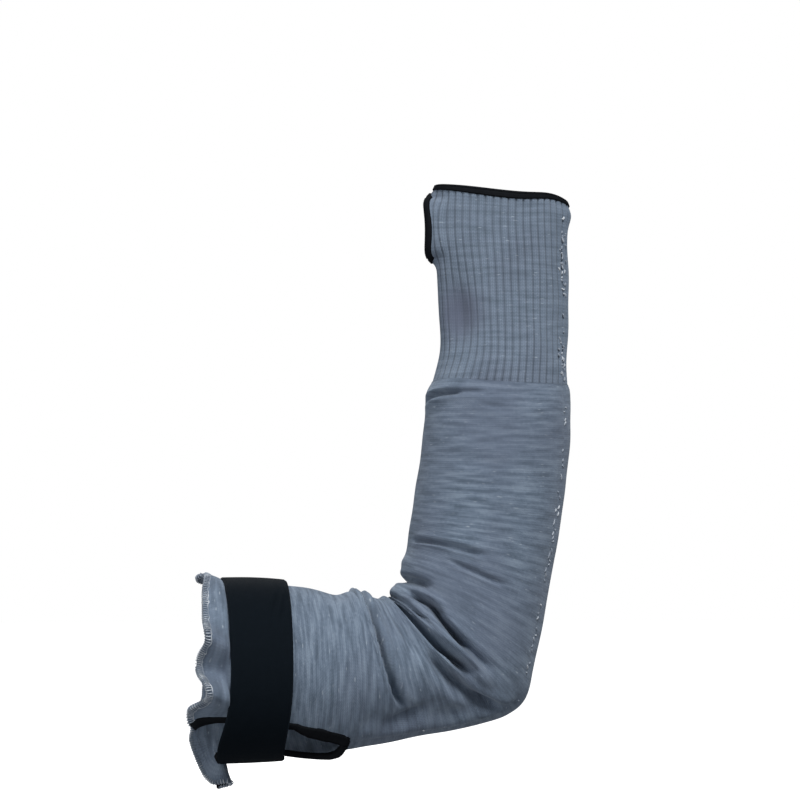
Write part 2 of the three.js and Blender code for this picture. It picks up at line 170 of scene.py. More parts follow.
# %% Folds of the jersey
# columns: from angle, to angle, station at the start, middle and end, width in stations, depth, lean
FOLDS = np.array([
    [74, 280, 8.85, 7.48, 7.90, 0.50, 12.0, -0.14],  # deep crease from the crook towards the elbow
    [56, 152, 8.95, 9.15, 9.60, 0.60, -3.6, 0.00],  # rolled ridge above it, near side
    [136, 262, 9.50, 9.80, 9.60, 1.10, -2.4, 0.00],  # the same ridge in the crook
    [90, 138, 9.68, 10.00, 10.70, 0.34, 9.0, -0.20],  # second crease, above the ridge
    [68, 114, 9.62, 9.66, 9.98, 0.34, 3.2, -0.10],  # where it dies out over the elbow
    [114, 160, 10.45, 10.50, 10.15, 0.34, 6.4, -0.20],  # its end, turning down into the roll
    [132, 262, 11.50, 11.12, 11.00, 0.40, 4.6, 0.00],  # notch between the two rolls of the crook
    [121, 149, 9.55, 8.85, 8.20, 0.14, 2.6, 0.00],  # small pocket in the ridge
    [54, 262, 5.84, 5.27, 5.50, 0.17, 8.4, -0.50],  # sharp crease across the upper arm
    [150, 214, 4.05, 4.00, 3.95, 0.42, 1.1, 0.00],  # dip in the top line by the strap
    [28, 106, 9.00, 7.72, 7.30, 0.50, 7.5, 0.15],  # hollow over the side of the elbow
    [30, 66, 5.00, 5.80, 6.80, 0.55, 3.0, 0.00],  # hollow above the seam
    [92, 174, 13.44, 13.53, 13.45, 0.10, 3.0, -0.40],  # forearm crease
    [74, 128, 12.90, 12.99, 13.10, 0.12, 2.0, -0.40],  # its lower neighbour
    [126, 244, 12.60, 12.45, 12.60, 0.70, -1.2, 0.00],  # roll between the creases
    [96, 150, 6.55, 6.45, 6.40, 0.26, 1.5, 0.20],  # soft line beside the upper arm crease
    [80, 140, 15.10, 15.20, 15.20, 0.16, 0.9, 0.00],  # faint lines on the forearm
    [60, 110, 14.25, 14.30, 14.35, 0.18, 0.8, 0.00],
    [48, 76, 15.60, 16.05, 16.20, 0.20, 1.0, 0.00],
    [86, 118, 16.25, 16.40, 16.60, 0.18, 1.0, 0.00],
    [104, 176, 17.10, 17.14, 16.90, 0.20, 1.7, 0.10],  # gathered into the cuff by the thumb
    [128, 190, 17.12, 17.02, 16.55, 0.22, 3.6, 0.10],
    [262, 330, 8.20, 8.60, 9.20, 0.55, 4.2, 0.20],  # far side
    [215, 300, 6.60, 6.40, 6.20, 0.34, 3.2, -0.20],
    [262, 318, 10.60, 10.20, 9.90, 0.45, 2.8, 0.20],
    [238, 300, 13.60, 13.90, 14.20, 0.25, 1.8, 0.00],
    [250, 320, 4.70, 4.55, 4.60, 0.28, 1.5, 0.00],
]) * [1, 1, 1, 1, 1, 1, MM, 1]
FADE = 16  # degrees over which a fold dies out at either end
RIDGES = 1.4  # how strongly the two ridges stand beside the valley


def creases(station, angle):
    """Sum over the folds of depth times (1 - 1.4 x x) exp(-x x), x being the distance across in widths.
    Returns the lift off the tube and the slide along it."""
    lift, slide = np.zeros(np.shape(station)), np.zeros(np.shape(station))
    angle = angle % 360
    for start, end, s0, s1, s2, wide, deep, lean in FOLDS:
        t = (angle - start) / (end - start)
        bow = 4 * t * (1 - t)
        line = s0 + (s2 - s0) * t + (s1 - (s0 + s2) / 2) * bow
        x = (station - line) / wide
        strength = deep * smooth(np.minimum(angle - start, end - angle) / FADE) * bell(x)
        lift -= strength * (1 - RIDGES * x * x)
        slide += strength * lean
    return lift, slide


print(len(FOLDS), "folds, the deepest", FOLDS[:, 6].max() / MM, "mm")

# %% Unevenness of soft cloth
WAVES, WAVE_RANGE = 9, (0.7, 1.5)  # how many waves, and how their lengths vary


def ripples(point, wavelength, seed):
    """A gentle unevenness from -1 to 1: the mean of plane waves in random directions."""
    draw = np.random.default_rng(seed)
    ways = unit(draw.normal(size=(WAVES, 3)))
    waves = ways * 2 * np.pi / wavelength * draw.uniform(*WAVE_RANGE, (WAVES, 1))
    return np.sin(point @ waves.T + draw.uniform(0, 2 * np.pi, WAVES)).mean(axis=-1) * 2


UNEVEN, UNEVEN_WAVE, UNEVEN_SEED = 0.5 * MM, 34 * MM, 11
UNEVEN_GROWS = 0.5  # stations from the strap and from the cuff over which it sets in
sample = ripples(ARM_SECTIONS[:, :3], UNEVEN_WAVE, UNEVEN_SEED)
print(f"ripples from {sample.min():.2f} to {sample.max():.2f} along the sections")

# %% [markdown]
# ## The loose hem and its slit
# Past the strap nothing holds the cloth, so its edge flutes. A sine wave would look like a lampshade, so
# each flute is a row that swells or pinches the edge at one angle and reaches along the arm. The slit under
# the arm is an opening between the first and the last column of the cloth: two angles that close up at its
# tip. They are read against the square root of the distance to the tip, which rounds it.

# %% Flutes of the hem
STRAP_LOW, STRAP_HIGH = 1.0, 3.0  # stations of the strap's two edges
FLUTES = np.array([  # angle, spread, swell out, reach along the arm
    [58, 12, -6.0, 10.0],
    [82, 8, 11.0, 0.5],
    [97, 10, -9.0, 4.4],
    [114, 8, 9.5, 0.5],
    [140, 20, 2.0, 1.8],
    [172, 22, 7.0, 0.0],
    [186, 6, 0.0, 5.0],
    [222, 14, 4.0, -2.0],
    [250, 12, -4.0, 0.0],
    [278, 13, 5.0, -0.8],
    [303, 10, -3.0, 2.0],
    [325, 20, 0.0, 9.0],
]) * [1, 1, MM, MM]
FLUTE_SLANT = 9  # degrees by which a flute drifts between the strap and the hem
HEM_SKEW = 7 * MM  # how much further the hem reaches on the near side
SWELL_FROM, SWELL_GROWTH = 0.995, 0.26  # the cloth swells as soon as it leaves the strap
SWELL_LATE = 0.08  # a little later on the near side, where the strap has slipped towards the hem


def hem_flutes(station, angle):
    """Past the strap: a bell round the arm for each flute. Returns the lift off the tube, which grows with a
    power of the distance from the strap, and the reach along the arm, which grows evenly."""
    near = np.sin(np.radians(angle))
    starts = SWELL_FROM - SWELL_LATE * np.maximum(near, 0)
    swollen = np.clip(1 - station / starts, 0, 1) ** SWELL_GROWTH
    lift, reach = np.zeros(np.shape(station)), HEM_SKEW * near
    for centre, spread, out, along in FLUTES:
        off = turn_from(angle, centre - FLUTE_SLANT * station) / spread
        lift = lift + out * swollen * bell(off)
        reach = reach + along * bell(off * off)
    return lift, reach * np.clip(STRAP_LOW - station, 0, 1)


print(f"hem of {len(FLUTES)} flutes, the widest swelling {FLUTES[:, 2].max() / MM:.0f} mm")

# %% Slit and seam
SEAM_AT_SLIT, SEAM_AT_WRIST = 27, 34
DRIFT_FROM, DRIFT_LONG = 5, 8  # stations over which the seam drifts
SLIT_TIP = 4.0
SLIT = np.array([  # station, near lip, far lip, how far the far lip hangs out in millimetres
    [0, 48, -6, 0],
    [1, 56, -5, 0],
    [3, 49, -3, 0],
    [3.3, 40, -2, 2.0],
    [3.55, 34, 2, 3.4],
    [3.75, 31, 9, 4.6],
    [3.89, 29.5, 16, 4.4],
    [3.97, 28, 22, 2.6],
    [SLIT_TIP, SEAM_AT_SLIT, SEAM_AT_SLIT, 0],
])
NEAR_LIP, FAR_LIP, LIP_HANG = 1, 2, 3  # its columns


def to_tip(station):
    """Square root of the share of the slit that is left before its tip."""
    return np.sqrt(np.clip(1 - np.asarray(station) / SLIT_TIP, 0, 1))


def slit_value(column, station):
    """A column of the slit's table, straight-line between rows in terms of to_tip."""
    return np.interp(to_tip(station), to_tip(SLIT[::-1, 0]), SLIT[::-1, column])


def seam_angle(station):
    """The seam drifts a little towards the near side on its way to the wrist."""
    return SEAM_AT_SLIT + (SEAM_AT_WRIST - SEAM_AT_SLIT) * smooth((station - DRIFT_FROM) / DRIFT_LONG)


print(f"slit opening to {SLIT[0, NEAR_LIP] - SLIT[0, FAR_LIP]:.0f} degrees at the hem")

# %% Relief along the seam
LIP_SPREAD = 14  # degrees over which the hanging lip bulges
PUCKER, PUCKER_SPREAD, PUCKER_GROWS = 0.4 * MM, 3, 0.25  # depth, degrees, stations: the thread draws it in
SEAM_ROLL, SEAM_ROLL_ANGLE, SEAM_ROLL_SPREAD = 5.5 * MM, 42, 10  # ridge by the seam, hollow beside it
SEAM_ROLL_FROM, ROLL_GROWS = 4.0, 1.2  # stations where the ridge begins, and over which it grows
SEAM_ROLL_TO, ROLL_DIES = 9.6, 1.8  # where it ends by the elbow, and over which it dies out


def seam_relief(station, angle):
    """Lift along the seam: the far lip of the slit bulges out, a narrow bell past its tip is drawn in, and a
    ridge with a hollow beside it, x exp(-x x), runs from the slit to the elbow."""
    hang = slit_value(LIP_HANG, station) * MM * (station < SLIT_TIP)
    lip = hang * bell(turn_from(angle, slit_value(FAR_LIP, station)) / LIP_SPREAD)
    sewn = smooth((station - SLIT_TIP) / PUCKER_GROWS)
    pucker = PUCKER * sewn * bell(turn_from(angle, seam_angle(station)) / PUCKER_SPREAD)
    rolled = smooth((station - SEAM_ROLL_FROM) / ROLL_GROWS) * smooth((SEAM_ROLL_TO - station) / ROLL_DIES)
    across = turn_from(angle, SEAM_ROLL_ANGLE) / SEAM_ROLL_SPREAD
    return lip - pucker - SEAM_ROLL * rolled * across * bell(across)


half_way = seam_relief(np.full(90, 7.0), np.arange(90.0))
print(f"ridge of {half_way.max() / MM:.1f} mm by the seam, hollow of {-half_way.min() / MM:.1f} mm beside it")

# %% The free corner of the hem
PANEL_FROM, PANEL_TURN = 318, 36  # the far panel hangs free over these degrees, up to the slit
PANEL_LONG = 45 * MM
PANEL_END = 1.3  # share of the panel by which it has certainly ended
PANEL_BLEND = 0.4  # share of it over which the tube goes over into the panel
PANEL_EDGE = MM * np.array([  # points along its hem, from the far side to where its lip turns back
    [-42.0, 32.0, -38.5],
    [-37.5, 28.0, -46.0],
    [-33.0, 22.0, -55.5],
    [-29.5, 15.0, -64.0],
    [-26.0, 8.0, -69.0],
    [-22.5, 4.0, -70.5],
    [-17.0, 2.0, -69.5],
])
LIP_FOLD, LIP_RADIUS = 0.72, 2.4 * MM  # share of the panel after which it turns back, and how tightly
LIP_GROWS, LIP_SLACK = 0.12, 0.02  # by the strap the turn opens out, down to this share of its curvature
LIP_BACK = np.array([0.33, 0.88, -0.33])  # the way to its hidden side


def hang_panel(point, station, angle):
    """Past the strap the far side of the slit is a free corner: straight lines from the strap's edge to a
    smooth curve through the hem's points. Its lip turns back on itself: a half circle, then straight on."""
    along = (angle % 360 - PANEL_FROM) / PANEL_TURN
    along = np.where((along > 0) & (along < PANEL_END), along, 0)
    off_strap = np.clip(STRAP_LOW - station, 0, 1)
    radius = LIP_RADIUS / np.maximum(smooth(off_strap / LIP_GROWS), LIP_SLACK)
    past = np.maximum(along - LIP_FOLD, 0) * PANEL_LONG
    bend = np.minimum(past / radius, np.pi)
    shown = np.minimum(along, LIP_FOLD) + (radius * np.sin(bend) - past + bend * radius) / PANEL_LONG
    behind = radius * (1 - np.cos(bend))
    hinge = arm_plain(np.full_like(along, STRAP_LOW), PANEL_FROM + PANEL_TURN * shown)
    hem = catmull_rom(PANEL_EDGE, shown / LIP_FOLD * (len(PANEL_EDGE) - 1))
    fallen = hinge + (hem - hinge) * off_strap[..., None] + behind[..., None] * LIP_BACK
    weight = (smooth(along / PANEL_BLEND) * (station < STRAP_LOW))[..., None]
    return point * (1 - weight) + fallen * weight


print(f"free corner down to z = {PANEL_EDGE[:, 2].min() / MM:.1f} mm")

# %% Outer face of the arm


def arm_surface(station, angle):
    """The plain tube, moved along its normal by creases, flutes, the seam's relief and ripples, and along
    the arm by leaning folds and the reach of the hem. The free corner then hangs down."""
    by_section, by_angle = slopes(arm_plain, ARM_LAST, station, angle)
    normal = unit(np.cross(by_section, by_angle))
    point = arm_plain(station, angle)
    fold_lift, slide = creases(station, angle)
    flute_lift, reach = hem_flutes(station, angle)
    slack = smooth((station - STRAP_HIGH) / UNEVEN_GROWS) * smooth((ARM_LAST - station) / UNEVEN_GROWS)
    uneven = UNEVEN * slack * ripples(point, UNEVEN_WAVE, UNEVEN_SEED)
    lift = fold_lift + flute_lift + seam_relief(station, angle) + uneven
    moved = point + normal * lift[..., None] + unit(by_section) * slide[..., None]
    moved[..., 0] -= reach
    return hang_panel(moved, station, angle)


hem_x = arm_surface(np.zeros(360), np.arange(360.0))[:, 0] / MM
print(f"hem between x = {hem_x.min():.0f} and {hem_x.max():.0f} mm")

# %% [markdown]
# ## The cuff
# A 2 by 2 rib draws the knit into cords that run along the wrist, with narrow grooves between them. Painted
# stripes would go flat at the outline, so the ribs are in the surface. Beside the thumb the wrist is
# dented, and the ribs are pulled round the dent. The thumb slot is an opening between the first and
# the last column, like the slit, and its lips stand out.

# %% Cuff surface
THUMB_ANGLE, THUMB_START, THUMB_END = 186, 3.31, 4.72
THUMB_HALF_GAP, THUMB_LIP_OUT, THUMB_LIP_SPREAD = 18, 7.8 * MM, 14
THUMB_MIDDLE, THUMB_REACH = (THUMB_START + THUMB_END) / 2, (THUMB_END - THUMB_START) / 2
THUMB_LIP_TALL = 0.8  # stations either side of the slot's middle where its lips stand out
DENT_STATION, DENT_ANGLE, DENT_TALL, DENT_SPREAD, DENT_DEEP = 2.0, 143, 0.75, 16, 6.0 * MM
RIM_RAISE, RIM_RAISE_ANGLE, RIM_RAISE_SPREAD = 3.2 * MM, 46, 28  # the rim is pulled up by the seam
RAISE_FROM, RAISE_TALL = 3.4, 1.6
ROLL_OUT, ROLL_STATION, ROLL_TALL, ROLL_ANGLE, ROLL_SPREAD = 2.4 * MM, 4.55, 0.38, 8, 30  # beside the rim
WRIST_UNEVEN, WRIST_WAVE, WRIST_SEED = 0.6 * MM, 30 * MM, 5


def slot_shape(station):
    """Half-ellipse from 0 at one end of the thumb slot to 1 half way and back to 0."""
    return np.sqrt(np.clip(1 - ((station - THUMB_START - THUMB_REACH) / THUMB_REACH) ** 2, 0, 1))


def wrist_dent(station, angle):
    """A bell in both directions beside the thumb, 1 at its middle."""
    return bell((station - DENT_STATION) / DENT_TALL) * bell(turn_from(angle, DENT_ANGLE) / DENT_SPREAD)


def cuff_surface(station, angle):
    """Cuff without its ribs: the plain tube, less the dent, plus the lips of the thumb slot, plus a roll by
    the rim, plus ripples. By the seam the rim is pulled up."""
    point = cuff_plain(station, angle)
    off_lip = np.abs(turn_from(angle, THUMB_ANGLE)) - THUMB_HALF_GAP * slot_shape(station)
    lip = bell(((station - THUMB_MIDDLE) / THUMB_LIP_TALL) ** 3) * bell(off_lip / THUMB_LIP_SPREAD)
    roll = bell((station - ROLL_STATION) / ROLL_TALL) * bell(turn_from(angle, ROLL_ANGLE) / ROLL_SPREAD)
    lift = THUMB_LIP_OUT * lip - DENT_DEEP * wrist_dent(station, angle) + ROLL_OUT * roll
    lift = lift + WRIST_UNEVEN * ripples(point, WRIST_WAVE, WRIST_SEED)
    moved = point + outward(cuff_plain, CUFF_LAST, station, angle) * lift[..., None]
    by_seam = bell(turn_from(angle, RIM_RAISE_ANGLE) / RIM_RAISE_SPREAD)
    moved[..., 2] += RIM_RAISE * smooth((station - RAISE_FROM) / RAISE_TALL) * by_seam
    return moved


print(f"thumb slot {THUMB_HALF_GAP * 2} degrees wide, its lips {THUMB_LIP_OUT / MM} mm out")

# %% [markdown]
# ## Where the jersey meets the cuff
# On the real sleeve the jersey narrows into the cuff along a sewn line, with no step between them. Two
# tubes that merely overlap would show a ledge, so the last section of the arm is shifted, more and more,
# until its end lies on the cuff's own surface. The line rises a little beside the thumb.

# %% Jersey surface
JOIN_STATION, JOIN_RISE, JOIN_ANGLE, JOIN_SPREAD = 0.03, 0.16, 150, 50
JOIN_PROUD = 0.3 * MM


def jersey_surface(station, angle):
    """The arm's surface, whose last section is shifted, more and more, until its end lies on the cuff."""
    point = arm_surface(station, angle)
    late = station > ARM_LAST - 1
    line = JOIN_STATION + JOIN_RISE * bell(turn_from(angle[late], JOIN_ANGLE) / JOIN_SPREAD)
    end = cuff_surface(line, angle[late])
    end = end + outward(cuff_surface, CUFF_LAST, line, angle[late]) * JOIN_PROUD
    shift = end - arm_surface(np.full_like(line, ARM_LAST), angle[late])
    point[late] += smooth(station[late] - (ARM_LAST - 1))[:, None] * shift
    return point


join_z = jersey_surface(np.full(360, float(ARM_LAST)), np.arange(360.0))[:, 2] / MM
print(f"jersey ends between z = {join_z.min():.1f} and {join_z.max():.1f} mm")

# %% [markdown]
# ## From a grid to a piece of cloth
# A grid of points becomes a wall by pairing it with a second grid, one cloth thickness further in, and
# closing the strip between the two along every free edge. Solidify would do it too, but it knows nothing
# of slits that close up half way along. UVs are kept in millimetres along the knit, so that the
# stitches in the material keep their size.

# %% Two kinds of cloth
Cloth = namedtuple("Cloth", "surface last wall")
JERSEY = Cloth(jersey_surface, ARM_LAST, 2.0 * MM)
RIB_KNIT = Cloth(cuff_surface, CUFF_LAST, 2.6 * MM)


def on_cloth(cloth, station, angle, lift):
    """Point at a height above the cloth's outer face, along its normal."""
    normal = outward(cloth.surface, cloth.last, station, angle)
    return cloth.surface(station, angle) + normal * np.asarray(lift)[..., None]


print(f"jersey {JERSEY.wall / MM} mm thick, rib {RIB_KNIT.wall / MM} mm")

# %% Mesh helpers


def make_piece(name, points, faces, uv=None):
    """A smooth-shaded mesh object at the origin, from arrays of points, of four-cornered faces and of UVs
    for their corners."""
    mesh = bpy.data.meshes.new(name)
    mesh.vertices.add(len(points))
    mesh.vertices.foreach_set("co", points.astype(np.float32).ravel())
    mesh.loops.add(faces.size)
    mesh.loops.foreach_set("vertex_index", faces.astype(np.int32).ravel())
    mesh.polygons.add(len(faces))
    mesh.polygons.foreach_set("loop_start", np.arange(0, faces.size, faces.shape[1], dtype=np.int32))
    mesh.polygons.foreach_set("use_smooth", np.ones(len(faces), dtype=bool))
    if uv is not None:
        layer = mesh.uv_layers.new(name="knit_mm")
        layer.data.foreach_set("uv", uv.astype(np.float32).ravel())
    mesh.update(calc_edges=True)
    mesh.validate()
    piece = bpy.data.objects.new(name, mesh)
    bpy.context.collection.objects.link(piece)
    print(f"{name}: {len(points)} points, {len(faces)} faces")
    return piece


def grid_quads(index):
    """Faces between neighbouring rows and columns of an index array."""
    corners = [index[:-1, :-1], index[:-1, 1:], index[1:, 1:], index[1:, :-1]]
    return np.stack(corners, axis=-1).reshape(-1, 4)


def strip_quads(a, b):
    """Faces between two lines of equal length."""
    return np.stack([a[:-1], b[:-1], b[1:], a[1:]], axis=-1)


print("a grid of 3 by 4 points has", len(grid_quads(np.arange(12).reshape(3, 4))), "faces")

# %% A wall with an opening


def wall_mesh(name, cloth, station, angle, lift, shut, uv):
    """A cloth wall between its outer face, raised by lift, and its inner one. On rows that are shut the last
    column is the first one; on the others the two are the lips of an opening, closed from face to face."""
    outer = on_cloth(cloth, station, angle, lift)
    inner = on_cloth(cloth, station, angle, np.full_like(angle, -cloth.wall))
    rows, columns = outer.shape[:2]
    plain = np.arange(rows * columns).reshape(rows, columns)
    index = plain.copy()
    index[shut, -1] = index[shut, 0]
    back = index + rows * columns
    quads = [grid_quads(index), grid_quads(back)[:, ::-1]]
    sources = [grid_quads(plain), grid_quads(plain)[:, ::-1]]
    edges = [(index[0][::-1], back[0][::-1]), (index[-1], back[-1])]
    opened = np.flatnonzero(~(shut[:-1] & shut[1:]))
    if len(opened):
        lines = np.append(opened, opened[-1] + 1)
        edges.append((index[lines, 0], back[lines, 0]))
        edges.append((index[lines, -1][::-1], back[lines, -1][::-1]))
    for a, b in edges:
        quads.append(strip_quads(a, b))
        sources.append(strip_quads(a, a))
    points = np.concatenate([outer.reshape(-1, 3), inner.reshape(-1, 3)])
    corner_uv = uv.reshape(-1, 2)[np.concatenate(sources) % (rows * columns)]
    used, faces = np.unique(np.concatenate(quads), return_inverse=True)
    return make_piece(name, points[used], faces.reshape(-1, 4), corner_uv)


print("inner faces lie", JERSEY.wall / MM, "and", RIB_KNIT.wall / MM, "mm under the outer ones")

# %% Rows, lengths and places in the knit


def knit_uv(across, along):
    """Grid of UVs in millimetres, from the places across the knit and those along it."""
    return np.stack(np.broadcast_arrays(across, along[:, None]), axis=-1) / MM


def run_stations(runs):
    """Evenly spaced stations within each run of from, to and rows, end to end."""
    parts = [np.linspace(a, b, n, endpoint=False) for a, b, n in runs]
    return np.append(np.concatenate(parts), runs[-1][1])


def path_length(points):
    """Distance along a line of points, from 0."""
    return np.append(0, np.cumsum(np.linalg.norm(np.diff(points, axis=0), axis=1)))


MID_ANGLE = 90
near_side = arm_plain(np.linspace(0, ARM_LAST, 200), np.full(200, MID_ANGLE))
print(f"the arm is {path_length(near_side)[-1] / MM:.0f} mm long on its near side")

# %% [markdown]
# ## Knitting the jersey tube
# Rows of the grid are courses, columns are wales. More rows go where the folds are. A slit cut into a closed
# tube with a boolean would have a ragged edge, so the opening is in the grid: its first and last columns
# follow the lips of the slit, and past its tip they meet on the seam.

# %% Jersey tube
ROW_RUNS = [  # from station, to station, rows
    (0, 1, 26), (1, 3, 18), (3, 3.6, 14), (3.6, SLIT_TIP, 18), (SLIT_TIP, 5, 18),
    (5, 12.6, 116), (12.6, 14, 44), (14, 17, 40), (17, ARM_LAST, 16),
]
ARM_COLUMNS = 150
JERSEY_GIRTH = 290 * MM
arm_stations = run_stations(ROW_RUNS)
is_open = arm_stations < SLIT_TIP
near_lip = np.where(is_open, slit_value(NEAR_LIP, arm_stations), seam_angle(arm_stations))
far_lip = np.where(is_open, slit_value(FAR_LIP, arm_stations), seam_angle(arm_stations)) + 360
share = np.linspace(0, 1, ARM_COLUMNS + 1)
arm_angle = near_lip[:, None] + (far_lip - near_lip)[:, None] * share
arm_station = np.repeat(arm_stations[:, None], share.size, axis=1)
courses = path_length(arm_plain(arm_stations, np.full_like(arm_stations, MID_ANGLE)))
jersey_uv = knit_uv(share * JERSEY_GIRTH, courses)
arm_tube = wall_mesh(
    "jersey_tube", JERSEY, arm_station, arm_angle, np.zeros_like(arm_angle), ~is_open, jersey_uv
)
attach(arm_tube, "root")
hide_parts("arm_tube")
print(f"jersey {courses[-1] / MM:.0f} mm along the near side")

# %% [markdown]
# ## Knitting the cuff
# The same wall, with eight columns to a rib so that every cord is round. The inner face stays smooth.
# A Displace modifier could raise the cords too, but on faces that cross them they would look torn.
# The columns close up beside the thumb slot and sway round the dent, and there the cords flatten.

# %% Ribs
RIBS, COLUMNS_PER_RIB, WALES_PER_RIB = 44, 8, 2
RIB_PITCH = 4.6 * MM
RIB_GROOVE, GROOVE_SHARE = 1.0 * MM, 0.15  # depth of a groove, and its half width in ribs
MIDDLE_LINE, MIDDLE_SHARE = 0.12 * MM, 0.07  # the same for the line along the middle of a rib


def rib_lift(rib):
    """Depth of the grooves between ribs, where rib counts ribs: a narrow bell on each half number, and a
    shallow line along the middle of each rib between its two columns of stitches."""
    across = rib % 1
    groove = bell((across - 0.5) / GROOVE_SHARE)
    middle = bell(np.minimum(across, 1 - across) / MIDDLE_SHARE)
    return -RIB_GROOVE * groove - MIDDLE_LINE * middle


print(f"{RIBS} ribs, {RIBS * RIB_PITCH / MM:.0f} mm round before the cuff is stretched")

# %% Columns of the cuff
CUFF_TUCK = -0.06  # the cuff starts inside the end of the jersey
CUFF_RUNS = [
    (CUFF_TUCK, THUMB_START, 60), (THUMB_START, 3.5, 10), (3.5, 4.45, 24), (4.45, THUMB_END, 10),
    (THUMB_END, CUFF_LAST, 10),
]
GIRTH_STATION = 2.5  # where the ribs are evenly spaced
HALF_DEGREES = np.linspace(0, 360, 2 * 360 + 1)
SLOT_REACH = 30  # degrees either side of the slot over which the ribs close up
RIB_SWAY, SWAY_TALL, SWAY_SPREAD = 6, 0.85, 18
cuff_stations = run_stations(CUFF_RUNS)
share = np.linspace(0, 1, RIBS * COLUMNS_PER_RIB + 1)
cuff_station = np.repeat(cuff_stations[:, None], share.size, axis=1)
girth = path_length(cuff_plain(np.full_like(HALF_DEGREES, GIRTH_STATION), THUMB_ANGLE + HALF_DEGREES))
even_turn = np.interp(share * girth[-1], girth, HALF_DEGREES)
from_slot = np.minimum(even_turn, 360 - even_turn)
gap = THUMB_HALF_GAP * slot_shape(cuff_stations)[:, None]
pushed = np.where(from_slot < SLOT_REACH, gap * (1 - from_slot / SLOT_REACH), 0)
cuff_angle = THUMB_ANGLE + even_turn + pushed * np.where(share < 0.5, 1, -1)
off_dent = turn_from(cuff_angle, DENT_ANGLE) / SWAY_SPREAD
cuff_angle += RIB_SWAY * off_dent * bell(off_dent) * bell((cuff_station - DENT_STATION) / SWAY_TALL)
print(f"cuff {girth[-1] / MM:.0f} mm round at the wrist, in {share.size} columns")

# %% Ribbed cuff
DENT_FLATTENS = 0.9  # share of a rib's relief that the dent takes away
RIB_STARTS = 0.08  # stations over which the grooves begin
drawn_flat = DENT_FLATTENS * wrist_dent(cuff_station, cuff_angle)
starting = smooth((cuff_station - CUFF_TUCK) / RIB_STARTS)
cuff_lift = rib_lift(share * RIBS) * (1 - drawn_flat) * starting
courses = path_length(cuff_plain(cuff_stations, np.full_like(cuff_stations, MID_ANGLE)))
rib_uv = knit_uv(share * RIBS * RIB_PITCH, courses)
cuff_shut = slot_shape(cuff_stations) == 0
rib_cuff = wall_mesh("ribbed_cuff", RIB_KNIT, cuff_station, cuff_angle, cuff_lift, cuff_shut, rib_uv)
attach(rib_cuff, "root")
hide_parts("rib_cuff")
print(f"cuff {courses[-1] / MM:.0f} mm along the near side")

# %% [markdown]
# ## Edging
# The rim, the thumb slot and the slit are each edged with black tape folded over the raw knit. A bevelled
# curve would roll round its path, so the tape's profile is carried along the edge in the cloth's
# own directions: `depth` goes from the edge into the cloth, `lift` stands off its outer face.

# %% Points beside an edge


def over_edge(cloth, path, depth, lift, ring):
    """Points by an edge. path is a line of (station, angle); into the cloth the point slides over the surface
    square to the edge, and beyond the edge it goes straight on."""
    station, angle = path.T
    edge = cloth.surface(station, angle)
    ahead = np.roll(edge, -1, axis=0) - np.roll(edge, 1, axis=0) if ring else np.gradient(edge, axis=0)
    by_section, by_angle = slopes(cloth.surface, cloth.last, station, angle)
    normal = unit(np.cross(by_section, by_angle))
    inward = unit(np.cross(normal, ahead))
    dot = lambda a, b: (a * b).sum(axis=-1)
    ss, aa, sa = dot(by_section, by_section), dot(by_angle, by_angle), dot(by_section, by_angle)
    u, v = dot(inward, by_section), dot(inward, by_angle)
    per_station = (u * aa - v * sa) / (ss * aa - sa * sa)
    per_angle = (v * ss - u * sa) / (ss * aa - sa * sa)
    inside = np.maximum(depth, 0)
    s = np.clip(station[:, None] + per_station[:, None] * inside, 0, cloth.last)
    a = angle[:, None] + per_angle[:, None] * inside
    beyond = np.minimum(depth, 0)[..., None] * inward[:, None, :]
    return on_cloth(cloth, s, a, lift) + beyond


def even_path(cloth, path, pitch, ring):
    """The same path with its points a given distance apart, and their distances along it."""
    if ring:
        path = np.vstack([path, path[:1]])
        path[-1, 1] += 360 * np.round((path[-2, 1] - path[-1, 1]) / 360)
    run = path_length(cloth.surface(path[:, 0], path[:, 1]))
    count = int(run[-1] / pitch)
    steps = np.linspace(0, run[-1], count + 1)[: count if ring else count + 1]
    return np.stack([np.interp(steps, run, path[:, k]) for k in range(2)], axis=-1), steps


around = HALF_DEGREES[:-1]
rim_path = np.stack([np.full_like(around, CUFF_LAST), THUMB_ANGLE + around], axis=-1)
print(f"rim {even_path(RIB_KNIT, rim_path, MM, True)[1][-1] / MM:.0f} mm round")

# %% Profile of the tape
LEG_POINTS, TAPE_TURN = 7, 15  # points along each leg of the tape and round its folded edge
TAPE_SQUASH = 0.7  # how far the fold stands out, as a share of a half circle
TAPE_CLEAR = 0.05 * MM  # between the tape and the cloth


def tape_profile(leg, wall, thick):
    """Closed outline of a folded tape: out along one leg, round the edge, back along the other, and home
    along the cloth. Returns depth and lift for each point."""
    legs = np.linspace(1, 0, LEG_POINTS)
    turn = np.linspace(0, np.pi, TAPE_TURN)[1:-1]
    half = wall / 2 + thick
    crown = thick * np.sqrt(np.clip(1 - (2 * legs - 1) ** 8, 0, 1))
    depth = np.concatenate([legs * leg, -half * TAPE_SQUASH * np.sin(turn), legs[::-1] * leg])
    lift = np.concatenate([crown, half * np.cos(turn) - wall / 2, -wall - crown[::-1]])
    home_depth = np.concatenate([legs * leg, legs[::-1] * leg])
    home_lift = np.repeat([-wall - TAPE_CLEAR, TAPE_CLEAR], LEG_POINTS)
    return np.append(depth, home_depth[1:-1]), np.append(lift, home_lift[1:-1])


RIM_LEG, RIM_THICK = 3.7 * MM, 0.8 * MM
rim_profile = tape_profile(RIM_LEG, RIB_KNIT.wall, RIM_THICK)
print(f"tape of {rim_profile[0].size} points, {np.ptp(rim_profile[1]) / MM:.1f} mm through")

# %% Tape along an edge
TAPE_STEP = 0.45 * MM
TAPE_RIDGE, TAPE_STITCH = 0.10 * MM, 1.1 * MM  # height and spacing of its close stitches


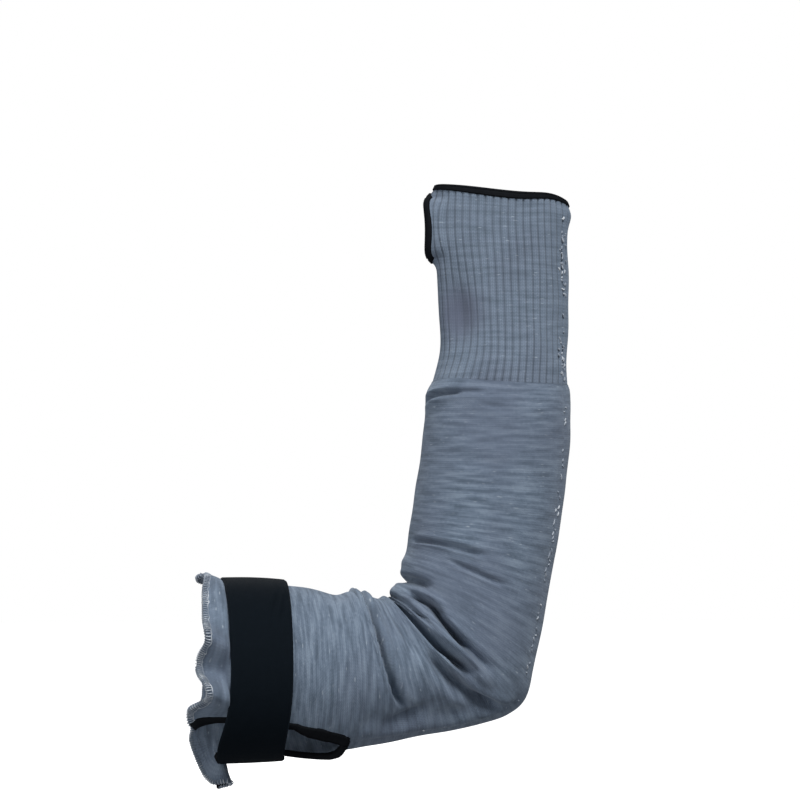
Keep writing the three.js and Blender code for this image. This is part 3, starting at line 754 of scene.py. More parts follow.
def swept_mesh(name, rings, closed, along, round_length):
    """A closed profile carried along a path: rows of points joined row to row, with flat ends if the path
    is open."""
    rows, count = rings.shape[:2]
    index = np.arange(rows * count).reshape(rows, count)
    wide = np.hstack([index, index[:, :1]])
    faces = [grid_quads(np.vstack([wide, wide[:1]]) if closed else wide)]
    if not closed:
        half = count // 2
        for row, flip in ((index[0], 1), (index[-1], -1)):
            faces.append(strip_quads(row[:half], row[::-1][:half])[:, ::flip])
    faces = np.concatenate(faces)
    u = np.append(along, along[-1] + along[1])[np.minimum(faces // count, rows)]
    v = (faces % count) / count * round_length
    return make_piece(name, rings.reshape(-1, 3), faces, np.stack([u, v], axis=-1) / MM)


def edging(name, node, cloth, path, ring, leg, thick, shown=None):
    """Tape folded over an edge path, ridged by its close stitches. shown gives the share of the leg that
    is left at each station and angle."""
    path, run = even_path(cloth, path, TAPE_STEP, ring)
    depth, lift = tape_profile(leg, cloth.wall, thick)
    depth = np.tile(depth, (len(run), 1))
    if shown:
        depth = np.where(depth > 0, depth * shown(*path.T)[:, None], depth)
    ridge = TAPE_RIDGE * np.sin(run / TAPE_STITCH * 2 * np.pi)[:, None] * np.sign(lift + cloth.wall / 2)
    skin = np.arange(lift.size) < 2 * LEG_POINTS + TAPE_TURN - 2
    rings = over_edge(cloth, path, depth, lift + ridge * skin, ring)
    piece = swept_mesh(name, rings, ring, run, 2 * leg + cloth.wall)
    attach(piece, "root")
    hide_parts(node)
    return piece


print(f"tape drawn every {TAPE_STEP / MM} mm, its stitches {TAPE_STITCH / MM} mm apart")

# %% Edging of the rim
RIM_LEAST = 0.6  # share of the leg that shows everywhere
RIM_WIDER = [(0.4, 98, 42), (0.3, 250, 60)]  # how much more shows, angle, spread


def rim_shown(station, angle):
    """A bell round the rim for each place where the tape is wider."""
    return RIM_LEAST + sum(more * bell(turn_from(angle, at) / spread) for more, at, spread in RIM_WIDER)


cuff_binding = edging(
    "rim_edging", "cuff_binding", RIB_KNIT, rim_path, True, RIM_LEG, RIM_THICK, rim_shown
)

# %% Edging of the thumb slot
THUMB_LEG, THUMB_THICK = 3.6 * MM, 1.0 * MM
half_turn = np.radians(around)
thumb_station = THUMB_MIDDLE - THUMB_REACH * np.cos(half_turn)
thumb_path = np.stack([thumb_station, THUMB_ANGLE + THUMB_HALF_GAP * np.sin(half_turn)], axis=-1)
thumb_binding = edging(
    "thumb_edging", "thumb_binding", RIB_KNIT, thumb_path, True, THUMB_LEG, THUMB_THICK
)

# %% Edging of the slit
# Above the strap the inner leg is drawn far wider than a binding's: partly the tape itself, partly black
# standing for the shade inside the slit near its tip.
SLIT_LEG, SLIT_THICK = 9.2 * MM, 0.9 * MM
SLIT_LEAST, HEM_WIDER = 0.42, 0.25  # share of the leg under the strap, and how much more by the hem
TIP_WIDER = 0.58  # how much more above the strap
WIDENS_NEAR, WIDENS_FAR, WIDENS_OVER = 2.95, 3.4, 0.5  # from these stations on either lip, and over how many
TIP_NARROW, NARROWS_AT, NARROWS_OVER = 0.3, 3.8, 0.2  # and less again round the tip itself
LIP_SAMPLES = 400


def slit_shown(station, angle):
    """Smooth steps along the slit: wider by the hem, wider still above the strap, on the near lip before the
    far one, and narrower round the tip. The extra width above the strap is black tape standing for shade."""
    widens_at = np.where(turn_from(angle, SEAM_AT_SLIT) > 0, WIDENS_NEAR, WIDENS_FAR)
    above = TIP_WIDER * smooth((station - widens_at) / WIDENS_OVER)
    tip_less = TIP_NARROW * smooth((station - NARROWS_AT) / NARROWS_OVER)
    return SLIT_LEAST + HEM_WIDER * smooth(STRAP_LOW - station) + above - tip_less


tip = np.linspace(1, 0, LIP_SAMPLES)
lip_station = SLIT_TIP * (1 - tip**2)
near_path = np.stack([lip_station, slit_value(NEAR_LIP, lip_station)], axis=-1)
far_path = np.stack([lip_station, slit_value(FAR_LIP, lip_station)], axis=-1)[::-1]
slit_path = np.vstack([near_path, far_path[1:]])
slit_binding = edging(
    "slit_edging", "slit_binding", JERSEY, slit_path, False, SLIT_LEG, SLIT_THICK, slit_shown
)

# %% [markdown]
# ## The strap
# A band of close webbing goes once round the upper arm and laps over itself on the far side. It is a
# flat profile with rounded edges, carried round the plain tube a little above the cloth. A cloth strip
# could be simulated, but webbing is stiff, so a smooth path with two small creases says enough.

# %% Section of the strap
STRAP_WIDE, STRAP_THICK, STRAP_CORNER = 40 * MM, 1.6 * MM, 0.6 * MM
STRAP_POINTS, STRAP_STEPS = 36, 420  # across one face, and along the band


def strap_outline():
    """Outline of the band's section: share across and share of its thickness, with rounded edges."""
    across = np.linspace(0, 1, STRAP_POINTS)
    edge = np.minimum(across, 1 - across) * STRAP_WIDE / STRAP_CORNER
    crown = np.sqrt(np.clip(1 - np.clip(1 - edge, 0, 1) ** 2, 0, 1))
    faces = [0.5 + 0.5 * crown, 0.5 - 0.5 * crown[::-1]]
    return np.concatenate([across, across[::-1]]), np.concatenate(faces)


across, level = strap_outline()
print(f"strap {STRAP_WIDE / MM:.0f} mm wide, {across.size} points round its section")

# %% Strap
STRAP_START, STRAP_LAP = 250, 46  # angle where it starts, and degrees by which it laps over itself
STRAP_RISE, RISE_DONE = 40, 2  # degrees before the lap where it begins to climb, and where it is up
STRAP_CLEAR, LAP_CLEAR = 2.0 * MM, 0.5 * MM  # over the plain tube, and over the strap's own start
STRAP_TILT = 0.14  # sections by which the near side slips towards the hem
STRAP_SLIP, SLIP_ANGLE, SLIP_SPREAD = 2.7 * MM, 34, 28  # and how much further it slips low down
SLIP_FLARE = 1.1  # its lower edge more than its upper one
CREASES = [(0.90, 0.0045, 136), (0.78, 0.0060, 140)]  # share across, its change per degree, angle
CREASE_DEEP, CREASE_WIDE, CREASE_LONG = 1.1 * MM, 0.035, 11  # width as a share, length in degrees
strap_turn = np.linspace(0, 360 + STRAP_LAP, STRAP_STEPS)
climb = smooth((strap_turn - 360 + STRAP_RISE) / (STRAP_RISE - RISE_DONE)) * (STRAP_THICK + LAP_CLEAR)
strap_angle = np.repeat(STRAP_START + strap_turn[:, None], across.size, axis=1)
strap_station = np.tile(STRAP_LOW + (STRAP_HIGH - STRAP_LOW) * across, (STRAP_STEPS, 1))
strap_station = strap_station - STRAP_TILT * np.maximum(np.sin(np.radians(strap_angle)), 0)
strap_lift = STRAP_CLEAR + climb[:, None] + STRAP_THICK * level
for middle, slant, at in CREASES:
    off = turn_from(strap_angle, at)
    line = bell((across - middle - slant * off) / CREASE_WIDE)
    strap_lift = strap_lift - CREASE_DEEP * line * bell(off / CREASE_LONG)
strap_points = on_cloth(Cloth(arm_plain, ARM_LAST, 0), strap_station, strap_angle, strap_lift)
slip = STRAP_SLIP * bell(turn_from(strap_angle, SLIP_ANGLE) / SLIP_SPREAD)
strap_points[..., 0] -= slip * (1 + SLIP_FLARE * (1 - across))
strap_run = path_length(strap_points[:, STRAP_POINTS // 2])
upper_arm_strap = swept_mesh("arm_strap", strap_points, False, strap_run, 2 * STRAP_WIDE)
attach(upper_arm_strap, "root")
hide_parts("upper_arm_strap")
print(f"strap {strap_run[-1] / MM:.0f} mm long")

# %% [markdown]
# ## Sewing thread
# The hem is overlocked: a pale thread loops over the cut edge every couple of millimetres. The seam that
# closes the tube shows as short pale ticks where its thread comes to the face, often in clusters. A bump
# could hint at them, but the loops stand clear of the edge, so each is a thin bent rod. One call
# builds all the rods of a piece as a single array.

# %% Thread rods
ROD_SIDES, ROD_TAPER = 6, 0.75


def thread_piece(name, lines, up, radius):
    """Bent rods in one mesh. lines holds each rod's centre line, up a direction across it; a ring of points
    is radius away from every centre point, smaller at the two ends, which are closed flat."""
    count, steps = lines.shape[:2]
    ahead = unit(np.gradient(lines, axis=1))
    side = unit(np.cross(ahead, up[:, None, :]))
    over = np.cross(side, ahead)
    turn = np.arange(ROD_SIDES) * 2 * np.pi / ROD_SIDES
    swell = radius * np.sqrt(1 - ROD_TAPER * np.linspace(-1, 1, steps) ** 4)
    ring = side[:, :, None] * np.cos(turn)[:, None] + over[:, :, None] * np.sin(turn)[:, None]
    points = lines[:, :, None] + ring * swell[:, None, None]
    index = np.arange(steps * ROD_SIDES).reshape(steps, ROD_SIDES)
    one = [grid_quads(np.hstack([index, index[:, :1]]))]
    half = ROD_SIDES // 2
    for row, flip in ((index[0], 1), (index[-1], -1)):
        one.append(strip_quads(row[:half], row[::-1][:half])[:, ::flip])
    faces = np.concatenate(one)[None] + np.arange(count)[:, None, None] * steps * ROD_SIDES
    piece = make_piece(name, points.reshape(-1, 3), faces.reshape(-1, 4))
    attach(piece, "root")
    return piece


print(f"a rod has {ROD_SIDES} sides and narrows to {np.sqrt(1 - ROD_TAPER):.1f} of its thickness at its ends")

# %% Loops over the hem
draw = np.random.default_rng(3)
HEM_PITCH, HEM_THREAD = 1.7 * MM, 0.34 * MM  # distance between loops, and radius of their thread
LOOP_DEPTH = np.array([3.8, 2.6, 1.3, 0.2, -0.7, 0.2, 2.0]) * MM  # a loop, from the face to the back
LOOP_LIFT = np.array([0.1, 0.4, 0.5, 0.4, -1.0, -2.4, -2.3]) * MM
LOOP_EDGE = 3  # the point of the loop that lies on the edge
LOOP_SPAN = 0.75, 1.1  # shortest and longest loop, as shares
HEM_PAST = 1.5  # degrees by which the stitches stop short of the slit's lips
HEM_SAMPLES = 600
hem_turn = np.linspace(360 + SLIT[0, FAR_LIP] - HEM_PAST, SLIT[0, NEAR_LIP] + HEM_PAST, HEM_SAMPLES)
hem_path, _ = even_path(JERSEY, np.stack([0 * hem_turn, hem_turn], axis=-1), HEM_PITCH, False)
loop_depth = LOOP_DEPTH * draw.uniform(*LOOP_SPAN, (len(hem_path), 1))
hem_lines = over_edge(JERSEY, hem_path, loop_depth, np.tile(LOOP_LIFT, (len(hem_path), 1)), False)
print(len(hem_path), "loops over the hem")

# %% Hem overlock
CHAIN_OVERLAP = 0.1  # by which the links of the chain between the loops pass each other
hem_ahead = unit(np.gradient(hem_lines[:, LOOP_EDGE], axis=0))
chain_share = np.linspace(-CHAIN_OVERLAP, 1 + CHAIN_OVERLAP, hem_lines.shape[1])[None, :, None]
chain_lines = hem_lines[:-1, :1] * (1 - chain_share) + hem_lines[1:, :1] * chain_share
hem_inward = unit(hem_lines[:-1, 0] - hem_lines[:-1, LOOP_EDGE])
hem_overlock = thread_piece(
    "hem_overlock",
    np.concatenate([hem_lines, chain_lines]),
    np.concatenate([hem_ahead, hem_inward]),
    HEM_THREAD,
)

# %% Seam thread
TICK_POINTS, TICK_LEAN, TICK_SPAN = 5, 0.07, (0.6, 1.3)
TICK_JITTER = 0.03  # stations by which a tick lies off its place
TICK_SUNK, TICK_BOW = 0.25 * MM, 0.45 * MM  # its ends dip into the cloth, its middle stands out
CLUSTER = np.ones(4) / 4  # ticks are kept or left out about four at a time
TICK_THREAD = 0.6 * MM  # radius of the thread
TICK_OUT = 0.0, -1.0, 0.3  # roughly out of the cloth, across every tick
ARM_SEAM_RUN = SLIT_TIP + 0.15, ARM_LAST - 0.2  # stations where the ticks begin and end
CUFF_SEAM_RUN, CUFF_SEAM = (0.1, CUFF_LAST - 0.45), 31  # the same for the cuff, and its seam's angle
SEAM_SAMPLES = 900


def seam_ticks(cloth, draw, run, angle_at, pitch, sparse, reach, stray):
    """Short ticks across a seam, leaning at random. run holds its first and last station, sparse is the level
    that a running mean of noise must pass to show a tick, reach is half of a tick and stray how far off the
    line it may lie, both in degrees."""
    line = np.linspace(*run, SEAM_SAMPLES)
    path, _ = even_path(cloth, np.stack([line, angle_at(line)], axis=-1), pitch, False)
    kept = np.convolve(draw.normal(size=len(path)), CLUSTER, "same") > sparse
    stations, angles = path[kept].T
    t = np.linspace(-1, 1, TICK_POINTS)
    count = len(stations)
    lean = draw.uniform(-TICK_LEAN, TICK_LEAN, (count, 1))
    long = reach * draw.uniform(*TICK_SPAN, (count, 1))
    s = stations[:, None] + draw.normal(0, TICK_JITTER, (count, 1)) + lean * t
    a = angles[:, None] + draw.normal(0, stray, (count, 1)) + long * t
    return on_cloth(cloth, np.clip(s, 0, cloth.last), a, TICK_BOW * (1 - t * t) - TICK_SUNK + 0 * s)


def cuff_seam_angle(station):
    """On the cuff the seam runs straight, nearly in line with the end of the jersey's."""
    return np.full_like(station, CUFF_SEAM)


arm_ticks = seam_ticks(
    JERSEY, draw, ARM_SEAM_RUN, seam_angle, pitch=3.4 * MM, sparse=0.18, reach=1.2, stray=2.4
)
cuff_ticks = seam_ticks(
    RIB_KNIT, draw, CUFF_SEAM_RUN, cuff_seam_angle, pitch=1.5 * MM, sparse=-0.1, reach=1.0, stray=3.6
)
tick_lines = np.concatenate([arm_ticks, cuff_ticks])
tick_up = np.tile(TICK_OUT, (len(tick_lines), 1))
seam_stitches = thread_piece("seam_stitches", tick_lines, tick_up, TICK_THREAD)
print(len(arm_ticks), "ticks on the jersey,", len(cuff_ticks), "on the cuff")

# %% [markdown]
# ## Materials
# Every finish here is yarn. One function turns a colour as a painter would mix it into the linear
# numbers that light works in, and one adds a node with its settings and links. What is the same all over
# a surface is set on the shader's own sockets.

# %% Colour and node helpers


def linear(code):
    """An sRGB hex code as linear red, green, blue and alpha."""
    s = np.array([int(code[i : i + 2], 16) for i in (1, 3, 5)]) / 255
    return (*np.where(s <= 0.04045, s / 12.92, ((s + 0.055) / 1.055) ** 2.4), 1.0)


def add(tree, kind, inputs=(), **settings):
    """Adds one shader node. settings are its own properties. inputs go from a socket's name or number to a
    value, to another node's output, or to a node, which stands for its first output in use."""
    node = tree.nodes.new("ShaderNode" + kind)
    for name, value in settings.items():
        setattr(node, name, value)
    for socket, value in dict(inputs).items():
        if isinstance(value, bpy.types.Node):
            value = next(output for output in value.outputs if output.enabled)
        if isinstance(value, bpy.types.NodeSocket):
            tree.links.new(value, node.inputs[socket])
        else:
            node.inputs[socket].default_value = value
    return node


def new_material(name, finish):
    """A node material whose shader has the finish's values on its sockets: the material, its tree and its
    shader."""
    material = bpy.data.materials.new(name)
    material.use_nodes = True
    shader = material.node_tree.nodes["Principled BSDF"]
    for socket, value in finish.items():
        shader.inputs[socket].default_value = value
    return material, material.node_tree, shader


print("the jersey's mid tone in linear light:", np.round(linear("#667485")[:3], 3))

# %% [markdown]
# ## Heathered jersey and rib, weft knitted from mixed yarns
# The yarn is a twist of pale and dark fibres, so each course is lighter or darker along its length, with a
# pale fleck here and there. Stitches are columns of small Vs. The wales are about 1.7 mm apart, under
# three pixels of the render, so they read as fine lines. A picture of knit would repeat and stretch, so
# the stitches are worked out from the UVs, and their tone from noise.

# %% Stitches
WALE_MM, COURSE_MM = 1.7, 1.3
RIB_COURSE_MM = 1.9  # drawn coarser than the real 1.2 mm, so that the beads of the cords show
V_SLANT = 1.2  # courses by which the legs of a V climb across half a wale


def knit_stitches(tree, uv, wale_mm, course_mm):
    """Stitch height, a parabola across each leg of the V times a wave along the chevron, and a number for
    each stitch that sets its own tone."""
    split = add(tree, "SeparateXYZ", {0: uv})
    wale = add(tree, "Math", {0: split.outputs["X"], 1: wale_mm}, operation="DIVIDE")
    course = add(tree, "Math", {0: split.outputs["Y"], 1: course_mm}, operation="DIVIDE")
    leg = add(tree, "Math", {0: wale, 1: 0.5}, operation="PINGPONG")
    chevron = add(tree, "Math", {0: leg, 1: V_SLANT, 2: course}, operation="MULTIPLY_ADD")
    phase = add(tree, "Math", {0: chevron, 1: 2 * np.pi}, operation="MULTIPLY")
    wave = add(tree, "Math", {0: phase}, operation="SINE")
    ridge = add(tree, "Math", {0: wave, 1: 0.3, 2: 0.7}, operation="MULTIPLY_ADD")
    offset = add(tree, "Math", {0: leg, 1: 4.0, 2: -1.0}, operation="MULTIPLY_ADD")
    square = add(tree, "Math", {0: offset, 1: 2.0}, operation="POWER")
    bow = add(tree, "Math", {0: 1.0, 1: square}, operation="SUBTRACT")
    height = add(tree, "Math", {0: bow, 1: ridge}, operation="MULTIPLY")
    column = add(tree, "Math", {0: wale}, operation="FLOOR")
    row = add(tree, "Math", {0: chevron}, operation="FLOOR")
    stitch = add(tree, "CombineXYZ", {0: column, 1: row})
    yarn = add(tree, "TexWhiteNoise", {"Vector": stitch}, noise_dimensions="2D")
    return split, height, yarn


print(f"jersey wales {WALE_MM} mm apart, those of the rib {RIB_PITCH / WALES_PER_RIB / MM:.1f} mm")

# %% Yarn
Yarn = namedtuple("Yarn", "dark middle light shade heather")  # heather: how far one stitch strays in tone
JERSEY_YARN = Yarn("#525f6e", "#667485", "#7b8999", "#5c6476", 0.042)
# the rib's shade colour is also the painted shade of the wrist's dent
RIB_YARN = Yarn("#616e7d", "#6b7888", "#748191", "#575d6e", 0.035)
FLECK_COLOUR = "#aab4bd"
STREAK_MM = 22, 2.9  # length along the courses and height of a lighter or darker streak
FLECK_MM = 5.5, 1.0  # the same of a pale fleck
PATCH_MM = 55  # size of the broad cooler patches
PATCH_SEED = 6.5  # the slice of the noise whose patches lie as on the sleeve
TONES = 0.31, 0.50, 0.70  # levels of the streaks' noise that are dark, middle and light


def yarn_colour(tree, uv, where, stitch, height, yarn):
    """Streaky noise, long along the courses, and each stitch's own number give the tone. Pale flecks and
    broad cooler patches are mixed in, and painted shade darkens the hollows between stitches. Returns the
    colour and the noise of the patches."""
    streak_at = add(tree, "Mapping", {"Vector": uv, "Scale": (1 / STREAK_MM[0], 1 / STREAK_MM[1], 1)})
    streak = add(tree, "TexNoise", {"Vector": streak_at, "Scale": 1.0, "Detail": 2.0, "Roughness": 0.44})
    varied = add(tree, "MapRange", {"Value": stitch, "To Min": -yarn.heather, "To Max": yarn.heather})
    mixed = add(tree, "Math", {0: streak, 1: varied}, operation="ADD")
    tone = add(tree, "ValToRGB", {"Fac": mixed})
    ramp = tone.color_ramp.elements
    ramp[0].position, ramp[0].color = TONES[0], linear(yarn.dark)
    ramp[1].position, ramp[1].color = TONES[2], linear(yarn.light)
    ramp.new(TONES[1]).color = linear(yarn.middle)
    fleck_at = add(tree, "Mapping", {"Vector": uv, "Scale": (1 / FLECK_MM[0], 1 / FLECK_MM[1], 1)})
    fleck = add(tree, "TexNoise", {"Vector": fleck_at, "Scale": 1.0, "Detail": 1.0})
    pale = add(tree, "MapRange", {"Value": fleck, "From Min": 0.68, "From Max": 0.80, "To Max": 0.7})
    flecked = add(tree, "Mix", {"Factor": pale, 6: tone, 7: linear(FLECK_COLOUR)}, data_type="RGBA")
    patch = add(
        tree, "TexNoise",
        {"Vector": where.outputs["Object"], "W": PATCH_SEED, "Scale": 1 / (PATCH_MM * MM), "Detail": 1.0},
        noise_dimensions="4D",
    )
    cool = add(tree, "MapRange", {"Value": patch, "From Min": 0.45, "From Max": 0.68, "To Max": 0.45})
    patched = add(tree, "Mix", {"Factor": cool, 6: flecked, 7: linear(yarn.shade)}, data_type="RGBA")
    # painted shade: the colour is darkened where the stitch height is low, in the hollows between stitches
    hollow = add(tree, "MapRange", {"Value": height, "From Max": 0.8, "To Min": 0.77, "To Max": 1.04})
    colour = add(
        tree, "Mix", {"Factor": 1.0, 6: patched, 7: hollow}, data_type="RGBA", blend_type="MULTIPLY"
    )
    return colour, patch


print("streaks of", STREAK_MM, "mm, flecks of", FLECK_MM, "mm")

# %% Grooves of the rib
GROOVE_FROM, GROOVE_TO = 0.28, 0.47  # shares of a rib, from its middle, between which painted shade darkens the groove
DENT_FROM, DENT_TO = 4 * MM, 24 * MM  # distances from the dent over which its painted shade fades and the grooves' painted shade comes back


def rib_grooves(tree, colour, split, where, patch, shade, dent):
    """Painted shade in the grooves between the cords, fainter in the cooler patches and nearly gone in the
    dent, where the knit is drawn flat; the dent itself is painted in the yarn's shade colour, as shade of its
    hollow."""
    rib_mm = RIB_PITCH / MM
    off_cord = add(tree, "Math", {0: split.outputs["X"], 1: rib_mm / 2}, operation="PINGPONG")
    # painted shade in the grooves between the cords
    groove = add(tree, "MapRange", {
        "Value": off_cord, "From Min": GROOVE_FROM * rib_mm, "From Max": GROOVE_TO * rib_mm,
        "To Min": 1.05, "To Max": 0.62,
    })
    off_dent = add(tree, "VectorMath", {0: where.outputs["Object"], 1: dent}, operation="DISTANCE")
    drawn = add(tree, "MapRange", {
        "Value": off_dent, "From Min": DENT_FROM, "From Max": DENT_TO, "To Min": 0.15, "To Max": 1.0,
    }, interpolation_type="SMOOTHSTEP")
    # painted shade of the dent's hollow: towards the dent the colour goes over into the yarn's darker shade
    # colour
    dent_shaded = add(tree, "Mix", {"Factor": drawn, 6: linear(shade), 7: colour}, data_type="RGBA")
    # how strongly the grooves' painted shade shows, varied by the noise of the patches
    groove_shade_varies = add(tree, "MapRange", {"Value": patch, "From Min": 0.3, "From Max": 0.7, "To Min": 0.5})
    shown = add(tree, "Math", {0: drawn, 1: groove_shade_varies}, operation="MULTIPLY")
    return add(
        tree, "Mix", {"Factor": shown, 6: dent_shaded, 7: groove}, data_type="RGBA", blend_type="MULTIPLY"
    )


dent_at = cuff_surface(np.array([DENT_STATION]), np.array([float(DENT_ANGLE)]))[0]
print("the cuff is dented at", np.round(dent_at / MM, 1), "mm")

# %% Knit material
STITCH_RELIEF, STITCH_DEEP = 0.4, 0.35 * MM
KNIT_FINISH = {  # matt fibres, with a soft light along the outline from their loose ends
    "Roughness": 0.92,
    "IOR": 1.45,
    "Specular IOR Level": 0.25,
    "Sheen Weight": 0.25,
    "Sheen Roughness": 0.6,
    "Sheen Tint": linear("#c3ccd6"),
}


def knit_material(name, wale_mm, course_mm, yarn, dent=None):
    """Knitted yarn: its stitches as a bump, its colour from the yarn. With a dent given, it has ribs."""
    material, tree, shader = new_material(name, KNIT_FINISH)
    uv = add(tree, "UVMap", uv_map="knit_mm")
    where = add(tree, "TexCoord")
    split, height, stitch = knit_stitches(tree, uv, wale_mm, course_mm)
    colour, patch = yarn_colour(tree, uv, where, stitch, height, yarn)
    if dent is not None:
        colour = rib_grooves(tree, colour, split, where, patch, yarn.shade, dent)
    tree.links.new(colour.outputs[2], shader.inputs["Base Color"])
    bump = add(tree, "Bump", {"Height": height, "Strength": STITCH_RELIEF, "Distance": STITCH_DEEP})
    tree.links.new(bump.outputs["Normal"], shader.inputs["Normal"])
    return material


jersey = knit_material("heathered_jersey_weft_knit", WALE_MM, COURSE_MM, JERSEY_YARN)
rib_wale_mm = RIB_PITCH / WALES_PER_RIB / MM
rib = knit_material("heathered_rib_weft_knit", rib_wale_mm, RIB_COURSE_MM, RIB_YARN, dent_at)
arm_tube.data.materials.append(jersey)
rib_cuff.data.materials.append(rib)
print(f"{jersey.name}: {len(jersey.node_tree.nodes)} nodes, {rib.name}: {len(rib.node_tree.nodes)}")

# %% [markdown]
# ## Black polyester edging and webbing
# The edging is a folded tape, overlocked so closely that its threads lie side by side. The strap is a
# close plain weave, a little smoother, with a faint cross rib. Both are nearly black, so their form
# shows by the soft light along their edges. The weave is about as fine as a pixel, so two crossed waves
# in the bump say as much as modelled threads would.

# %% Black materials
FUZZ_MM = 6.0  # size of the paler, rubbed places
WEAVE_DEEP = 0.12 * MM


def woven_black(name, colour, light, thread_mm, roughness, relief):
    """Close black weave: two crossed waves, one thread apart, for relief, and a fine noise for tone."""
    finish = {"Roughness": roughness, "IOR": 1.5, "Specular IOR Level": 0.03}
    material, tree, shader = new_material(name, finish)
    uv = add(tree, "UVMap", uv_map="knit_mm")
    split = add(tree, "SeparateXYZ", {0: uv})
    waves = []
    for axis in ("X", "Y"):
        turn = add(tree, "Math", {0: split.outputs[axis], 1: 2 * np.pi / thread_mm}, operation="MULTIPLY")
        waves.append(add(tree, "Math", {0: turn}, operation="SINE"))
    weave = add(tree, "Math", {0: waves[0], 1: waves[1]}, operation="MULTIPLY")
    fuzz = add(tree, "TexNoise", {"Vector": uv, "Scale": 1 / FUZZ_MM, "Detail": 4.0, "Roughness": 0.7})
    tone = add(tree, "Mix", {"Factor": fuzz, 6: linear(colour), 7: linear(light)}, data_type="RGBA")
    tree.links.new(tone.outputs[2], shader.inputs["Base Color"])
    bump = add(tree, "Bump", {"Height": weave, "Strength": relief, "Distance": WEAVE_DEEP})
    tree.links.new(bump.outputs["Normal"], shader.inputs["Normal"])
    return material


tape_black = woven_black(
    "black_polyester_tape_overlocked", "#101214", "#1a1c20", thread_mm=1.1, roughness=0.85, relief=0.5
)
strap_black = woven_black(
    "black_polyester_webbing_woven", "#0b1116", "#10161c", thread_mm=0.9, roughness=0.8, relief=0.4
)
for piece in (cuff_binding, thumb_binding, slit_binding):
    piece.data.materials.append(tape_black)
upper_arm_strap.data.materials.append(strap_black)
print("black finishes:", tape_black.name, "and", strap_black.name)

# %% [markdown]
# ## Undyed polyester sewing thread, twisted
# The thread is pale and a little shiny next to the wool-like knit. Fibres of the knit cling to it here and
# there, so its tone wanders between off-white and grey over a few stitches. Single fibres are too fine to
# see, so a noise in the thread's colour stands for them.

# %% Thread material
CLING_MM = 6  # length of thread over which its tone wanders
thread, tree, shader = new_material(
    "undyed_polyester_thread_twisted", {"Roughness": 0.6, "Specular IOR Level": 0.3}
)
where = add(tree, "TexCoord")
cling = add(
    tree, "TexNoise", {"Vector": where.outputs["Object"], "Scale": 1 / (CLING_MM * MM), "Detail": 2.0}
)
clean = add(tree, "MapRange", {"Value": cling, "From Min": 0.45, "From Max": 0.70})
mixed = add(tree, "Mix", {"Factor": clean, 6: linear("#868f9b"), 7: linear("#c6ccd2")}, data_type="RGBA")
tree.links.new(mixed.outputs[2], shader.inputs["Base Color"])
for piece in (hem_overlock, seam_stitches):
    piece.data.materials.append(thread)
print("thread on", len(hem_path), "hem loops and", len(tick_lines), "seam ticks")

# %% [markdown]
# ## The cloth pieces
# The knit is stretched over the arm, so it was cut a little smaller than it is here.

print("three cloth pieces: jersey, rib and strap")

# %% [markdown]
# ## Studio
# A white table lit from below, as for catalogue pictures, a broad soft light from above and in front, and
# weaker ones from the left and from behind. The table doesn't light the sleeve, so its underside stays dark.
# A picture of a studio round the scene would light it as well, but a few lamps are easier to place.
# The camera is a little towards the hem's side, far back, with a long lens.

# %% Floor and backdrop
FLOOR_Z, FLOOR_HALF = -0.16, 9.0
floor_sides = FLOOR_HALF * np.array([[-1, -1], [1, -1], [1, 1], [-1, 1]])
floor_points = np.column_stack([floor_sides, np.full(4, FLOOR_Z)])
floor = make_piece("studio_floor", floor_points, np.array([[0, 1, 2, 3]]))
# opal acrylic with lamps under it: an even white, on which shadows hardly show
table_white, _, _ = new_material("backlit_white_acrylic_table", {
    "Base Color": linear("#f4f4f3"),
    "Roughness": 0.9,
    "Emission Color": linear("#ffffff"),
    "Emission Strength": 0.8,
})
floor.data.materials.append(table_white)
floor.visible_diffuse = False
floor.visible_glossy = False

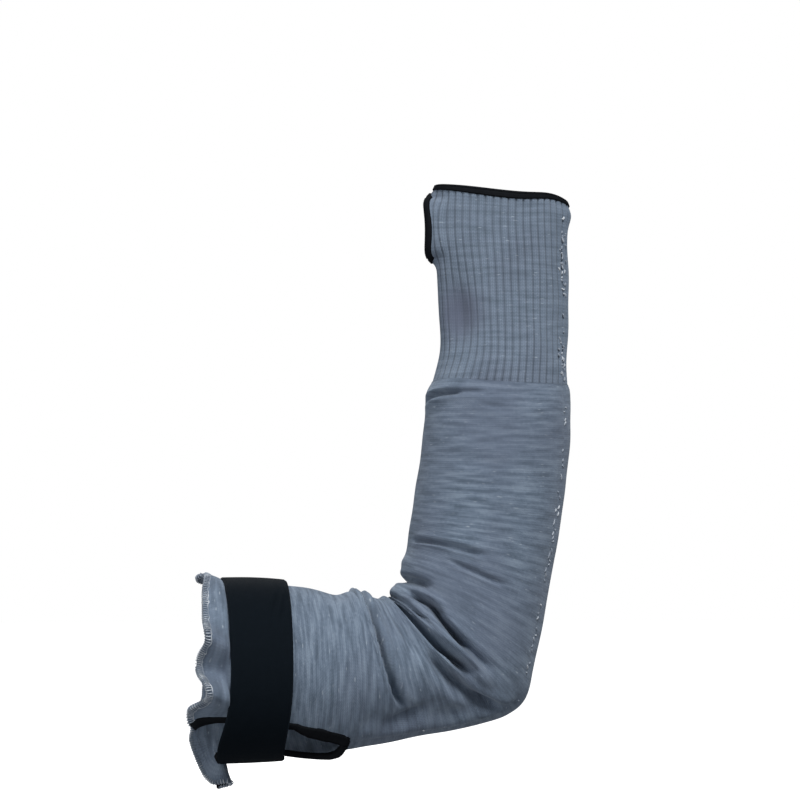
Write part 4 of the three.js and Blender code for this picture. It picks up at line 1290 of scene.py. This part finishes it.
scene = bpy.context.scene
scene.world = bpy.data.worlds.new("studio")
scene.world.use_nodes = True
world = scene.world.node_tree
path = add(world, "LightPath")
dim = add(world, "Background", {"Color": linear("#f2f5fa"), "Strength": 0.33})
bright = add(world, "Background", {"Color": linear("#ffffff"), "Strength": 1.0})
both = add(world, "MixShader", {0: path.outputs["Is Camera Ray"], 1: dim, 2: bright})
world.links.new(both.outputs[0], world.nodes["World Output"].inputs["Surface"])
print(f"table {-FLOOR_Z / MM:.0f} mm below the strap's middle")

# %% Lights
AIM = np.array([0.0926, 0.0, 0.1681])
LIGHTS = [  # name, place, size, power
    ("key", (0.35, -1.65, 2.0), 1.2, 60),
    ("left_fill", (-1.8, -1.4, 0.0), 1.2, 24),
    ("back_fill", (0.2, 1.9, 1.6), 1.4, 22),
]


def face_sleeve(thing, back):
    """Turns an object so that it looks against the direction back, and puts it in the scene."""
    thing.rotation_mode = "QUATERNION"
    thing.rotation_quaternion = Vector(back).to_track_quat("Z", "Y")
    bpy.context.collection.objects.link(thing)


for name, place, size, power in LIGHTS:
    lamp = bpy.data.lights.new(name, "AREA")
    lamp.shape, lamp.size, lamp.energy = "SQUARE", size, power
    light = bpy.data.objects.new(name, lamp)
    light.location = place
    face_sleeve(light, np.array(place) - AIM)
print("soft lights:", [name for name, *_ in LIGHTS])

# %% Camera
CAMERA_AZIMUTH, CAMERA_ELEVATION = np.radians(-11), np.radians(-2)
CAMERA_DISTANCE, FRAME_WIDTH = 2.5, 0.5
SENSOR_MM = 36
camera = bpy.data.objects.new("camera", bpy.data.cameras.new("camera"))
camera.data.sensor_width = SENSOR_MM
camera.data.lens = SENSOR_MM * CAMERA_DISTANCE / FRAME_WIDTH
camera.data.clip_end = 50  # metres, past the far corner of the table
back = np.array([
    np.sin(CAMERA_AZIMUTH) * np.cos(CAMERA_ELEVATION),
    -np.cos(CAMERA_AZIMUTH) * np.cos(CAMERA_ELEVATION),
    np.sin(CAMERA_ELEVATION),
])
camera.location = AIM + back * CAMERA_DISTANCE
face_sleeve(camera, back)
scene.camera = camera
scene.view_settings.view_transform = "Standard"
print(f"lens of {camera.data.lens:.0f} mm, {CAMERA_DISTANCE} m away")

# %% [markdown]
# ## Updating the scene

# %% Update the scene
bpy.context.view_layer.update()
